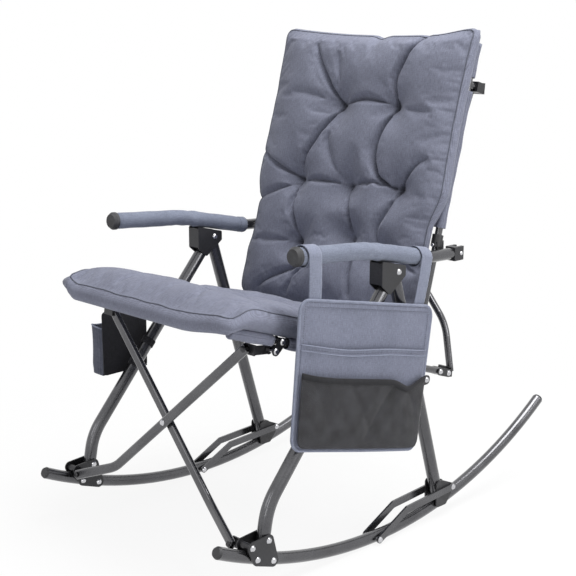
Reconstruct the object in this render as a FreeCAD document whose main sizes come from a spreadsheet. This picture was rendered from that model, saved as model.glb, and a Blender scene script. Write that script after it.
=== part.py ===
import FreeCAD, Part
import math
import os

# Folding rocking camping chair, in millimetres.
# The chair faces -Y, +X is the sitter's left and the floor is z = 0.
# The left half is drawn and mirrored. The two sides differ only in the bags that hang on them.

Vector = FreeCAD.Vector
ALONG_X = Vector(1, 0, 0)

DRIVING_SIZES = [
    ("side_spacing", 570.0, "between the planes of the two side frames"),
    ("touch_gap", 0.3, "between fixed pieces that lie against each other"),
    ("running_gap", 0.05, "radial clearance of a pin in its hole"),
    ("leg_outer", 28.0, "leg tube"),
    ("leg_wall", 1.5, "leg tube wall"),
    ("rocker_outer", 25.4, "rocker tube"),
    ("rocker_wall", 1.5, "rocker tube wall"),
    ("arm_outer", 25.4, "arm tube"),
    ("arm_wall", 1.2, "arm tube wall"),
    ("thin_outer", 16.0, "seat rails, back uprights and rear cross tubes"),
    ("thin_wall", 1.0, "wall of the thin tubes"),
    ("brace_wide", 21.0, "front cross tube, flat oval, across the wide face"),
    ("brace_thick", 12.0, "front cross tube, across the narrow face"),
    ("brace_wall", 2.0, "front cross tube wall"),
    ("plate_thick", 3.0, "pressed steel brackets"),
    ("rivet_shank", 8.0, "rivets and pivot pins"),
    ("rivet_head", 13.0, "rivet head across"),
    ("rivet_dome", 2.5, "rivet head height"),
    ("rocker_radius", 1049.0, "rocker bend, to the tube's centre line"),
    ("rocker_front_reach", 458.5, "low point to front end, along Y"),
    ("rocker_rear_reach", 575.7, "low point to rear end, along Y"),
    ("plug_depth", 18.0, "how far an end plug goes into its tube"),
    ("plug_head", 5.0, "what shows of an end plug"),
    ("foot_pivot_y", -342.0, "front leg's pin in the foot bracket"),
    ("foot_pivot_rise", 41.5, "that pin above the rocker's centre line"),
    ("foot_rivet_front_y", -372.0, "front rivet through the rocker"),
    ("foot_rivet_rear_y", -330.0, "rear rivet through the rocker"),
    ("foot_margin", 12.0, "bracket edge round its rivets"),
    ("barrel_y", -385.0, "barrel that carries the front cross tube"),
    ("barrel_rise", 22.7, "barrel above the rocker's centre line"),
    ("barrel_outer", 14.0, "barrel across"),
    ("leg_toe", 10.0, "front leg below its foot pin"),
    ("leg_bend_y", -330.0, "bend of the front leg"),
    ("leg_bend_z", 174.0, "bend of the front leg"),
    ("leg_bend_radius", 120.0, "front leg's bend, to the centre line"),
    ("leg_top_y", 8.0, "front leg's upper end"),
    ("leg_top_z", 562.0, "front leg's upper end"),
    ("apex_y", 27.0, "rear leg's pin in the arm bracket"),
    ("apex_z", 584.0, "rear leg's pin in the arm bracket"),
    ("leg_head", 9.0, "rear leg above its pin"),
    ("saddle_y", 190.0, "saddle on the rocker, under the rear leg"),
    ("saddle_web", 5.0, "bridge plate between rocker and rear leg"),
    ("saddle_web_long", 30.0, "bridge plate along the rocker"),
    ("saddle_drop", 4.0, "lower corners of the saddle above the rocker's centre line"),
    ("saddle_height", 48.0, "saddle's top above the rocker's centre line"),
    ("saddle_half", 11.0, "half the saddle's length along the rocker"),
    ("saddle_margin", 8.0, "rounded edge of the saddle"),
    ("link_rear_y", 224.0, "link bars' pin in the saddle"),
    ("link_rear_rise", 26.0, "that pin above the rocker's centre line"),
    ("link_bend_y", 66.0, "link bars' bend"),
    ("link_bend_rise", 40.0, "bend above the rocker's centre line"),
    ("link_front_y", -22.0, "link bars' pin in the rocker"),
    ("link_wide", 16.0, "link bar, upright"),
    ("link_thick", 4.5, "link bar, across"),
    ("bracket_front_y", -25.0, "front web of the arm bracket"),
    ("bracket_rear_y", 48.0, "rear edge of the arm bracket"),
    ("bracket_tip_y", 0.0, "lower tip of the arm bracket"),
    ("bracket_tip_z", 545.0, "lower tip of the arm bracket"),
    ("bracket_web_z", 563.0, "lower edge of the front web"),
    ("bracket_round", 4.0, "rounded corners of the arm bracket"),
    ("arm_tip_y", -250.0, "front end of the arm"),
    ("arm_tip_z", 652.0, "front end of the arm"),
    ("arm_bend_y", -60.0, "first bend of the arm"),
    ("arm_bend_z", 638.0, "first bend of the arm"),
    ("arm_dip_y", 135.0, "second bend of the arm"),
    ("arm_dip_z", 597.0, "second bend of the arm"),
    ("arm_end_y", 226.0, "rear end of the arm tube"),
    ("arm_end_z", 594.0, "rear end of the arm tube"),
    ("arm_bend_radius", 300.0, "arm bends, to the centre line"),
    ("sleeve_outer", 36.0, "padded arm sleeve across"),
    ("sleeve_rear_y", 133.0, "rear end of the padded arm sleeve"),
    ("arm_plug_outer", 39.0, "front plug of the arm across"),
    ("arm_plug_head", 13.0, "front plug of the arm, what shows"),
    ("clevis_wide", 26.0, "clevis at the arm's rear end, across"),
    ("clevis_high", 30.0, "clevis, upright"),
    ("clevis_long", 30.0, "clevis, along the arm"),
    ("clevis_slot", 12.0, "clevis slot"),
    ("upright_in", 23.0, "back upright inside the side plane"),
    ("upright_y", 198.0, "back upright at its collar"),
    ("upright_z", 622.0, "back upright at its collar"),
    ("upright_lean", 15.7, "degrees that the back leans"),
    ("upright_below", 232.0, "upright below its collar"),
    ("upright_above", 432.0, "upright above its collar"),
    ("collar_outer", 24.0, "collar round the upright"),
    ("collar_long", 26.0, "collar along the upright"),
    ("collar_tab", 22.0, "collar's tab along the arm"),
    ("stub_outer", 14.0, "stub on the upright"),
    ("stub_up", 342.0, "stub above the collar, along the upright"),
    ("stub_block", 22.0, "socket on the stub, each way"),
    ("stub_tab", 24.0, "socket's tab, upright"),
    ("rail_in", 36.4, "seat rail inside the side plane"),
    ("rail_pin_y", 126.0, "pin that the seat rail turns on"),
    ("rail_pin_z", 333.0, "pin that the seat rail turns on"),
    ("rail_pin_drop", 20.4, "pin under the rail's centre line"),
    ("rail_slope", 18.22, "degrees that the seat rail rises to the front"),
    ("rail_ahead", 550.0, "rail in front of its pin"),
    ("rail_behind", 118.0, "rail behind its pin"),
    ("rail_clamp_outer", 23.0, "clamp round the rail"),
    ("rail_clamp_long", 22.0, "clamp along the rail"),
    ("rail_ear_thick", 6.0, "clamp's ear"),
    ("rail_ear_margin", 10.0, "ear and lugs round the pin"),
    ("bracket_pin_ahead", 429.0, "front bracket's lower pin ahead of the rail pin, along the rail"),
    ("bracket_pin_drop", 20.0, "that pin under the rail's centre line"),
    ("bracket_back_step", 12.0, "upper rivet behind the lower pin, along the rail"),
    ("bracket_margin", 9.0, "front bracket round its rivets"),
    ("cross_y", -344.8, "rivet where the front cross tubes meet"),
    ("cross_z", 277.6, "rivet where the front cross tubes meet"),
    ("cross_lean", 7.9, "degrees that the front cross leans back"),
    ("cross_foot_in", 33.0, "lower pin of a front cross tube inside the side plane"),
    ("cross_foot_drop", 176.5, "lower pin under the crossing"),
    ("cross_foot_ahead", 26.3, "lower end ahead of the crossing's plane"),
    ("cross_bend_in", 102.0, "bend of a front cross tube inside its lower pin"),
    ("cross_top_in", 30.6, "upper pin of a front cross tube inside the rail"),
    ("cross_top_rise", 196.2, "upper pin above the crossing"),
    ("cross_bend_radius", 90.0, "bend of a front cross tube"),
    ("brace_end", 6.0, "cross tube past its pin"),
    ("tab_thick", 4.2, "knuckle tabs"),
    ("tab_half", 10.5, "half a knuckle tab's height"),
    ("strap_thick", 3.2, "straps of the upper knuckles"),
    ("strap_half", 9.0, "half the width of those straps"),
    ("rear_lean", 5.7, "degrees that the rear cross leans back"),
    ("rear_foot_in", 18.6, "end pins of a rear cross tube inside the rails"),
    ("rear_bend_in", 25.0, "bends of a rear cross tube inside its end pins"),
    ("rear_bend_rise", 100.0, "bends from the end pins, along the lean"),
    ("rear_bend_radius", 110.0, "bends of a rear cross tube"),
    ("rear_swing_gap", 0.9, "room where a rear cross tube passes its open pivot"),
    ("fork_long", 18.0, "fork on the rail, ahead of the rail's end"),
    ("fork_reach", 13.0, "knuckle's pin behind the rail's end"),
    ("fork_margin", 9.0, "fork round its pins"),
    ("knuckle_reach", 11.0, "knuckle's arm behind its pin"),
    ("knuckle_arm", 6.0, "knuckle's arm, front to back"),
    ("cushion_lift", 10.5, "cushions in front of the rails' and uprights' centre lines"),
    ("seat_front", 16.0, "seat cushion in front of the rails"),
    ("seat_rear_gap", 44.0, "seat cushion's rear edge ahead of the rail pin, along the rail"),
    ("seat_over", 18.4, "seat cushion outside the rails at its corners"),
    ("seat_draw", 6.0, "how far the seat's sides draw in between the corners"),
    ("seat_edge", 36.0, "seat cushion's edge at the front"),
    ("seat_crown", 57.0, "seat cushion in the middle of the front"),
    ("seat_wedge", 20.0, "how much thicker the seat is at the rear"),
    ("seat_tuft_front", 0.3, "front row of tufts, as a share of the seat's length"),
    ("seat_tuft_rear", 0.6, "rear row of tufts, as a share of the seat's length"),
    ("seat_tuft", 14.0, "depth of the seat's tufts"),
    ("back_low", 200.0, "back cushion below the collars"),
    ("back_high", 446.0, "back cushion above the collars"),
    ("back_over", 24.0, "back cushion outside the uprights above the arms"),
    ("back_low_over", 14.0, "back cushion outside the uprights below the arms"),
    ("back_waist_in", 12.0, "back cushion inside the uprights between the arms"),
    ("back_draw", 5.0, "how far the back's sides draw in"),
    ("back_edge", 24.0, "back cushion's edge"),
    ("back_crown", 47.0, "back cushion in the middle"),
    ("back_tuft", 28.0, "depth of the back's tufts"),
    ("tuft_ball", 62.0, "radius of the hollow round a tuft"),
    ("tuft_pitch", 152.0, "between the tufts of a row"),
    ("tuft_row_top", 284.0, "upper row of tufts above the collars"),
    ("tuft_row_middle", 96.0, "middle row of tufts above the collars"),
    ("tuft_row_low", -40.0, "lower row of tufts from the collars"),
    ("side_bulge", 7.0, "swell of a cushion's edge"),
    ("cloth_thick", 1.5, "sling cloth"),
    ("panel_thick", 3.0, "organizer panel"),
    ("panel_off", 21.0, "organizer panel's inner face outside the side plane"),
    ("panel_front_y", -265.0, "organizer, upper front corner"),
    ("panel_front_z", 575.0, "organizer, upper front corner"),
    ("panel_rear_y", 130.0, "organizer, upper rear corner"),
    ("panel_rear_z", 496.0, "organizer, upper rear corner"),
    ("panel_deep_front", 294.0, "organizer's depth at the front"),
    ("panel_deep_rear", 307.0, "organizer's depth at the rear"),
    ("panel_sweep_front", 23.0, "lower front corner ahead of the upper one"),
    ("panel_sweep_rear", 48.0, "lower rear corner ahead of the upper one"),
    ("panel_round", 24.0, "organizer's rounded corners"),
    ("pocket_hem", 86.0, "cloth pocket's hem below the organizer's top"),
    ("pocket_deep", 7.0, "cloth pocket, outwards"),
    ("mesh_hem", 142.0, "mesh pocket's hem below the organizer's top"),
    ("mesh_deep", 9.0, "mesh pocket, outwards"),
    ("pocket_wall", 2.0, "pocket cloth"),
    ("pocket_inset", 8.0, "pockets inside the organizer's edge"),
    ("strap_front_y", -222.0, "front strap over the arm"),
    ("strap_rear_y", 112.0, "rear strap over the arm"),
    ("strap_rear_inset", 26.0, "rear strap's foot inside the organizer's rear corner"),
    ("strap_tail_in", 2.0, "straps' tails narrower than their loops, each side"),
    ("strap_room", 2.0, "straps loose round the arm sleeve"),
    ("strap_wide", 36.0, "straps, along the arm"),
    ("strap_cloth", 2.2, "strap thickness"),
    ("pouch_front_y", -279.0, "bag on the right front leg, front edge"),
    ("pouch_long", 124.0, "bag along the chair"),
    ("pouch_low_z", 296.0, "bottom of the bag"),
    ("pouch_high", 110.0, "bag's pocket, upright"),
    ("pouch_flap", 38.0, "bag's panel above the pocket"),
    ("pouch_deep", 56.0, "bag's pocket, outwards"),
    ("pouch_wall", 2.5, "bag cloth"),
    ("loop_low_z", 316.0, "lower loop round the leg"),
    ("loop_high_z", 360.0, "upper loop round the leg"),
    ("loop_wide", 24.0, "loops along the leg"),
    ("loop_cloth", 2.2, "loop thickness"),
]

doc = FreeCAD.newDocument("folding_rocking_chair")
sheet = doc.addObject("Spreadsheet::Sheet", "Sizes")
for row, (alias, value, note) in enumerate(DRIVING_SIZES, start=1):
    sheet.set("A%d" % row, alias)
    sheet.set("B%d" % row, "%s" % value)
    sheet.setAlias("B%d" % row, alias)
    sheet.set("C%d" % row, note)
doc.recompute()

NODES = []


def size(alias):
    return float(sheet.get(alias))


HALF = size("side_spacing") / 2
GAP = size("touch_gap")
RUN = size("running_gap")
PLATE = size("plate_thick")
PLATE_IN = size("leg_outer") / 2 + GAP
PLATE_OUT = PLATE_IN + PLATE
SHANK = "Sizes.rivet_shank / 2"
SHANK_HOLE = "Sizes.rivet_shank / 2 + Sizes.running_gap"
THIN = size("thin_outer") / 2


# Small helpers

def unit(y, z):
    length = math.hypot(y, z)
    return (y / length, z / length)


def place(start, direction):
    return FreeCAD.Placement(start, FreeCAD.Rotation(Vector(0, 0, 1), direction))


def cylinder(name, start, end, radius):
    item = doc.addObject("Part::Cylinder", name)
    item.setExpression("Radius", radius)
    item.Height = (end - start).Length
    item.Placement = place(start, end - start)
    return item


def cone(name, start, end, radius, tip):
    item = doc.addObject("Part::Cone", name)
    item.setExpression("Radius1", radius)
    item.setExpression("Radius2", tip)
    item.Height = (end - start).Length
    item.Placement = place(start, end - start)
    return item


def box(name, low, high):
    item = doc.addObject("Part::Box", name)
    item.Length = high.x - low.x
    item.Width = high.y - low.y
    item.Height = high.z - low.z
    item.Placement.Base = low
    return item


def cut(name, base, *tools):
    tool = tools[0]
    if len(tools) > 1:
        tool = doc.addObject("Part::MultiFuse", name + "_tools")
        tool.Shapes = list(tools)
    item = doc.addObject("Part::Cut", name)
    item.Base = base
    item.Tool = tool
    return item


def fuse(name, *pieces):
    item = doc.addObject("Part::MultiFuse", name)
    item.Shapes = list(pieces)
    return item


def group(name, *pieces):
    item = doc.addObject("Part::Compound", name)
    item.Links = list(pieces)
    return item


def mirror(name, source):
    item = doc.addObject("Part::Mirroring", name)
    item.Source = source
    item.Normal = ALONG_X
    item.Base = Vector(0, 0, 0)
    return item


def feature(name, shape):
    item = doc.addObject("Part::Feature", name)
    item.Shape = shape
    return item


def keep(label, item):
    item.Label = label
    NODES.append(item)
    return item


def keep_both(stem, left):
    keep("left_" + stem, left)
    keep("right_" + stem, mirror("right_" + stem, left))
    return left


def extrude(name, face, x_start, thickness):
    base = feature(name + "_face", face)
    base.Placement.Base = Vector(x_start, 0, 0)
    item = doc.addObject("Part::Extrusion", name)
    item.Base = base
    item.DirMode = "Custom"
    item.Dir = ALONG_X
    item.Solid = True
    item.setExpression("LengthFwd", thickness)
    return item


def rounded_outline(points, margin):
    corners = [Vector(0, y, z) for y, z in points]
    return Part.Face(Part.makePolygon(corners + corners[:1]).makeOffset2D(margin))


def slot_outline(start, end, radius):
    (y0, z0), (y1, z1) = start, end
    along = unit(y1 - y0, z1 - z0)
    side = (-along[1] * radius, along[0] * radius)
    a = Vector(0, y0 + side[0], z0 + side[1])
    b = Vector(0, y1 + side[0], z1 + side[1])
    c = Vector(0, y1 - side[0], z1 - side[1])
    d = Vector(0, y0 - side[0], z0 - side[1])
    far = Vector(0, y1 + along[0] * radius, z1 + along[1] * radius)
    near = Vector(0, y0 - along[0] * radius, z0 - along[1] * radius)
    edges = [Part.makeLine(a, b), Part.Arc(b, far, c).toShape(), Part.makeLine(c, d),
             Part.Arc(d, near, a).toShape()]
    return Part.Face(Part.Wire(edges))


def bent_line(points, radius):
    edges = []
    start = points[0]
    for before, corner, after in zip(points, points[1:], points[2:]):
        back = (before - corner).normalize()
        ahead = (after - corner).normalize()
        half_turn = (math.pi - back.getAngle(ahead)) / 2
        reach = radius * math.tan(half_turn)
        inward = (back + ahead).normalize()
        middle = corner + inward * (radius / math.cos(half_turn) - radius)
        first = corner + back * reach
        last = corner + ahead * reach
        edges.append(Part.makeLine(start, first))
        edges.append(Part.Arc(first, middle, last).toShape())
        start = last
    edges.append(Part.makeLine(start, points[-1]))
    return Part.Wire(edges)


def sweep(name, line, profile):
    item = doc.addObject("Part::Sweep", name)
    item.Sections = [profile]
    item.Spine = (line, ["Edge%d" % (i + 1) for i in range(len(line.Shape.Edges))])
    item.Solid = True
    return item


def ring(name, line, radius):
    item = doc.addObject("Part::Circle", name)
    item.setExpression("Radius", radius)
    first = line.Shape.Edges[0]
    item.Placement = place(line.Shape.OrderedVertexes[0].Point, first.tangentAt(first.FirstParameter))
    return item


def round_tube(name, wire, outer, wall):
    line = feature(name + "_line", wire)
    full = sweep(name + "_full", line, ring(name + "_outer", line, outer + " / 2"))
    bore = sweep(name + "_bore", line, ring(name + "_inner", line, "%s / 2 - %s" % (outer, wall)))
    return cut(name + "_tube", full, bore)


def straight_tube(name, start, end, outer, wall):
    full = cylinder(name + "_full", start, end, outer + " / 2")
    bore = cylinder(name + "_bore", start, end, "%s / 2 - %s" % (outer, wall))
    return cut(name + "_tube", full, bore)


def hole(name, y, z, x_low, x_high, radius=SHANK_HOLE):
    return cylinder(name, Vector(x_low, y, z), Vector(x_high, y, z), radius)


def rivet(name, y, z, x_low, x_high):
    dome = size("rivet_dome")
    tip = "Sizes.rivet_head / 2 - Sizes.rivet_dome * 0.8"
    shank = cylinder(name + "_shank", Vector(x_low - dome / 2, y, z), Vector(x_high + dome / 2, y, z), SHANK)
    outer = cone(name + "_outer", Vector(x_high, y, z), Vector(x_high + dome, y, z), "Sizes.rivet_head / 2",
                 tip)
    inner = cone(name + "_inner", Vector(x_low, y, z), Vector(x_low - dome, y, z), "Sizes.rivet_head / 2",
                 tip)
    return fuse(name, shank, outer, inner)


def headed_pin(name, y, z, x_low, x_high):
    dome = size("rivet_dome")
    shank = cylinder(name + "_shank", Vector(x_low, y, z), Vector(x_high + dome / 2, y, z), SHANK)
    head = cone(name + "_head", Vector(x_high, y, z), Vector(x_high + dome, y, z), "Sizes.rivet_head / 2",
                "Sizes.rivet_head / 2 - Sizes.rivet_dome * 0.8")
    return fuse(name, shank, head)


def plate_pair(name, face, holes):
    outer = extrude(name + "_outer_plate", face, HALF + PLATE_IN, "Sizes.plate_thick")
    inner = extrude(name + "_inner_plate", face.copy(), HALF - PLATE_OUT, "Sizes.plate_thick")
    return [cut(name + "_outer", outer, *holes), cut(name + "_inner", inner, *holes)]


# Points that several pieces share

ROCKER_R = size("rocker_radius")
ROCKER_Z = ROCKER_R + size("rocker_outer") / 2


def rocker_z(y):
    return ROCKER_Z - math.sqrt(ROCKER_R ** 2 - y ** 2)


def on_rocker(alias):
    y = size(alias)
    return (y, rocker_z(y))


def above_rocker(y_alias, rise_alias):
    y, z = on_rocker(y_alias)
    return (y, z + size(rise_alias))


FOOT_PIVOT = above_rocker("foot_pivot_y", "foot_pivot_rise")
BARREL = above_rocker("barrel_y", "barrel_rise")
FOOT_FRONT = on_rocker("foot_rivet_front_y")
FOOT_REAR = on_rocker("foot_rivet_rear_y")
APEX = (size("apex_y"), size("apex_z"))
SADDLE = on_rocker("saddle_y")
LINK_REAR = above_rocker("link_rear_y", "link_rear_rise")
LINK_BEND = above_rocker("link_bend_y", "link_bend_rise")
LINK_FRONT = on_rocker("link_front_y")
LINK_IN = PLATE_OUT + GAP
LINK_OUT = LINK_IN + size("link_thick")

WEB_LOW = SADDLE[1] + size("rocker_outer") / 2 + 10 * GAP
WEB_HIGH = WEB_LOW + size("saddle_web")
REAR_LEG_UP = unit(APEX[0] - SADDLE[0], APEX[1] - WEB_HIGH)
TOE_LIFT = abs(REAR_LEG_UP[0]) * size("leg_outer") / 2 + GAP
REAR_FOOT = (SADDLE[0], WEB_HIGH + TOE_LIFT)

LEAN = math.radians(size("upright_lean"))
UP = Vector(0, math.sin(LEAN), math.cos(LEAN))
FORWARD = Vector(0, -math.cos(LEAN), math.sin(LEAN))
COLLAR = Vector(HALF - size("upright_in"), size("upright_y"), size("upright_z"))

SLOPE = math.radians(size("rail_slope"))
RAIL_DIR = Vector(0, math.cos(SLOPE), -math.sin(SLOPE))
RAIL_UP = Vector(0, math.sin(SLOPE), math.cos(SLOPE))
RAIL_PIN = (size("rail_pin_y"), size("rail_pin_z"))
RAIL_X = HALF - size("rail_in")
RAIL_FOOT = Vector(RAIL_X, *RAIL_PIN) + RAIL_UP * size("rail_pin_drop")
RAIL_FRONT = RAIL_FOOT - RAIL_DIR * size("rail_ahead")
RAIL_REAR = RAIL_FOOT + RAIL_DIR * size("rail_behind")
BRACKET_LOW = RAIL_FOOT - RAIL_DIR * size("bracket_pin_ahead") - RAIL_UP * size("bracket_pin_drop")
BRACKET_HIGH = RAIL_FOOT - RAIL_DIR * (size("bracket_pin_ahead") - size("bracket_back_step"))

CROSS_LEAN = math.radians(size("cross_lean"))
CROSS = Vector(0, size("cross_y"), size("cross_z"))
CROSS_UP = Vector(0, math.sin(CROSS_LEAN), math.cos(CROSS_LEAN))
CROSS_OUT = Vector(0, -math.cos(CROSS_LEAN), math.sin(CROSS_LEAN))
BRACE_LAYER = size("brace_thick") / 2 + GAP
REAR_LEAN = math.radians(size("rear_lean"))
REAR_UP = Vector(0, math.sin(REAR_LEAN), math.cos(REAR_LEAN))
REAR_OUT = Vector(0, math.cos(REAR_LEAN), -math.sin(REAR_LEAN))
REAR_PIN = RAIL_REAR + RAIL_DIR * size("fork_reach")
ARM_FACE = size("knuckle_reach") + size("knuckle_arm")
LAYER_C = ARM_FACE + GAP + THIN
LAYER_D = LAYER_C + 2 * (THIN + GAP)
STUB_BASE = COLLAR + UP * size("stub_up")
TAB_FACE = ARM_FACE - size("rear_swing_gap")
TAB_BACK = TAB_FACE - size("tab_thick")
STUB_LONG = (TAB_BACK - PLATE - (STUB_BASE - REAR_PIN).dot(REAR_OUT)) / -FORWARD.dot(REAR_OUT)
STUB_END = STUB_BASE - FORWARD * STUB_LONG
REAR_RISE = (STUB_END - REAR_PIN).dot(REAR_UP)


def on_cross(x, rise, ahead):
    return CROSS + ALONG_X * x + CROSS_UP * rise + CROSS_OUT * ahead


# Side frame: rocker, foot bracket, legs, saddle and links

def make_rocker():
    ends = [-math.asin(size("rocker_front_reach") / ROCKER_R),
            math.asin(size("rocker_rear_reach") / ROCKER_R)]
    angles = [ends[0], sum(ends) / 2, ends[1]]
    points = [Vector(HALF, ROCKER_R * math.sin(a), ROCKER_Z - ROCKER_R * math.cos(a)) for a in angles]
    wire = Part.Wire([Part.Arc(*points).toShape()])
    tube = round_tube("rocker", wire, "Sizes.rocker_outer", "Sizes.rocker_wall")
    reach = size("rocker_outer")
    holes = [hole("rocker_hole_%d" % i, y, z, HALF - reach, HALF + reach)
             for i, (y, z) in enumerate([FOOT_FRONT, FOOT_REAR, LINK_FRONT])]
    keep_both("rocker", cut("left_rocker", tube, *holes))
    plugs = []
    for name, angle, sign in (("front", ends[0], -1), ("rear", ends[1], 1)):
        end = Vector(HALF, ROCKER_R * math.sin(angle), ROCKER_Z - ROCKER_R * math.cos(angle))
        away = Vector(0, math.cos(angle), math.sin(angle)) * sign
        spigot = cylinder("rocker_spigot_" + name, end - away * size("plug_depth"),
                          end + away * (size("plug_head") / 2),
                          "Sizes.rocker_outer / 2 - Sizes.rocker_wall - Sizes.touch_gap")
        head = cone("rocker_button_" + name, end + away * RUN, end + away * size("plug_head"),
                    "Sizes.rocker_outer / 2", "Sizes.rocker_outer / 2 - Sizes.plug_head / 2")
        plugs.append(fuse("rocker_plug_" + name, spigot, head))
    keep_both("rocker_plugs", group("left_rocker_plugs", *plugs))


def make_foot_plates():
    face = rounded_outline([BARREL, FOOT_FRONT, FOOT_REAR, FOOT_PIVOT], size("foot_margin"))
    low, high = HALF - 2 * PLATE_OUT, HALF + 2 * PLATE_OUT
    holes = [hole("foot_hole_%d" % i, y, z, low, high) for i,
             (y, z) in enumerate([FOOT_FRONT, FOOT_REAR, FOOT_PIVOT])]
    holes.append(hole("foot_barrel_pin_hole", *BARREL, HALF, high))
    holes.append(hole("foot_barrel_hole", *BARREL, low, HALF, "Sizes.barrel_outer / 2 + Sizes.running_gap"))
    keep_both("foot_plates", group("left_foot_plates", *plate_pair("foot", face, holes)))


def make_legs():
    pivot = Vector(HALF, *FOOT_PIVOT)
    bend = Vector(HALF, size("leg_bend_y"), size("leg_bend_z"))
    top = Vector(HALF, size("leg_top_y"), size("leg_top_z"))
    toe = pivot + (pivot - bend).normalize() * size("leg_toe")
    front = round_tube("front_leg", bent_line([toe, bend, top], size("leg_bend_radius")), "Sizes.leg_outer",
                       "Sizes.leg_wall")
    low, high = HALF - size("leg_outer"), HALF + size("leg_outer")
    keep_both("front_leg", cut("left_front_leg", front, hole("leg_toe_hole", *FOOT_PIVOT, low, high)))
    foot = Vector(HALF, *REAR_FOOT)
    up = (Vector(HALF, *APEX) - foot).normalize()
    rear = straight_tube("rear_leg", foot, Vector(HALF, *APEX) + up * size("leg_head"), "Sizes.leg_outer",
                         "Sizes.leg_wall")
    holes = [hole("leg_apex_hole", *APEX, low, high), hole("leg_lug_hole", *lug_point(), low, high)]
    keep_both("rear_leg", cut("left_rear_leg", rear, *holes))


def lug_point():
    share = (RAIL_PIN[1] - REAR_FOOT[1]) / (APEX[1] - REAR_FOOT[1])
    return (REAR_FOOT[0] + (APEX[0] - REAR_FOOT[0]) * share, RAIL_PIN[1])


def make_saddle():
    y, z = SADDLE
    half = size("saddle_half")
    low = z + size("saddle_drop")
    high = z + size("saddle_height")
    face = rounded_outline([(y - half, low), (y + half, low), LINK_REAR, (y, high), (y - half, high)],
                           size("saddle_margin"))
    pin = hole("saddle_hole", *LINK_REAR, HALF - 2 * PLATE_OUT, HALF + 2 * PLATE_OUT)
    plates = plate_pair("saddle", face, [pin])
    web = size("saddle_web_long") / 2
    bridge = box("saddle_bridge", Vector(HALF - PLATE_IN, y - web, WEB_LOW),
                 Vector(HALF + PLATE_IN, y + web / 2, WEB_HIGH))
    keep_both("saddle", fuse("left_saddle", bridge, *plates))


def make_links():
    radius = size("link_wide") / 2
    bars = []
    for name, x_start in (("outer", HALF + LINK_IN), ("inner", HALF - LINK_OUT)):
        rear = extrude("link_rear_" + name, slot_outline(LINK_REAR, LINK_BEND, radius), x_start,
                       "Sizes.link_thick")
        front = extrude("link_front_" + name, slot_outline(LINK_BEND, LINK_FRONT, radius), x_start,
                        "Sizes.link_thick")
        bar = fuse("link_bar_" + name, rear, front)
        reach = 2 * LINK_OUT
        holes = [hole("link_hole_%s_%d" % (name, i), y, z, HALF - reach, HALF + reach)
                 for i, (y, z) in enumerate([LINK_REAR, LINK_FRONT])]
        bars.append(cut("link_" + name, bar, *holes))
    keep_both("link_bars", group("left_link_bars", *bars))


# Arm: tube, padded sleeve, plug, clevis and the bracket that holds the legs

ARM_TIP = Vector(HALF, size("arm_tip_y"), size("arm_tip_z"))
ARM_BEND = Vector(HALF, size("arm_bend_y"), size("arm_bend_z"))
ARM_DIP = Vector(HALF, size("arm_dip_y"), size("arm_dip_z"))
ARM_END = Vector(HALF, size("arm_end_y"), size("arm_end_z"))


ARM_WIRE = bent_line([ARM_TIP, ARM_BEND, ARM_DIP, ARM_END], size("arm_bend_radius"))


# Steps of the search for a height on the arm
HALVINGS = 60


def arm_z(y):
    """Height of the arm's centre line at y."""
    for edge in ARM_WIRE.Edges:
        low, high = edge.FirstParameter, edge.LastParameter
        if edge.valueAt(high).y < edge.valueAt(low).y:
            low, high = high, low
        if not edge.valueAt(low).y <= y <= edge.valueAt(high).y:
            continue
        for _ in range(HALVINGS):
            middle = (low + high) / 2
            if edge.valueAt(middle).y < y:
                low = middle
            else:
                high = middle
        return edge.valueAt(low).z
    raise ValueError("no arm at y = %s" % y)


STRAP_FRONT = Vector(HALF, size("strap_front_y"), arm_z(size("strap_front_y")))
STRAP_REAR = Vector(HALF, size("strap_rear_y"), arm_z(size("strap_rear_y")))


def make_arm():
    radius = size("arm_bend_radius")
    tube = round_tube("arm", ARM_WIRE, "Sizes.arm_outer", "Sizes.arm_wall")
    keep_both("arm_tube", tube)
    start = ARM_TIP + (ARM_BEND - ARM_TIP).normalize() * GAP
    wire = bent_line([start, ARM_BEND, ARM_DIP, ARM_END], radius)
    line = feature("sleeve_line", wire)
    full = sweep("sleeve_full", line, ring("sleeve_outer_ring", line, "Sizes.sleeve_outer / 2"))
    bore = sweep("sleeve_bore", line,
                 ring("sleeve_inner_ring", line, "Sizes.arm_outer / 2 + Sizes.touch_gap"))
    across = size("sleeve_outer")
    rest = box("sleeve_rest", Vector(HALF - across, size("sleeve_rear_y"), ARM_DIP.z - across),
               Vector(HALF + across, ARM_END.y + across, ARM_DIP.z + across))
    keep_both("arm_sleeve", cut("left_arm_sleeve", full, bore, rest))


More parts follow.
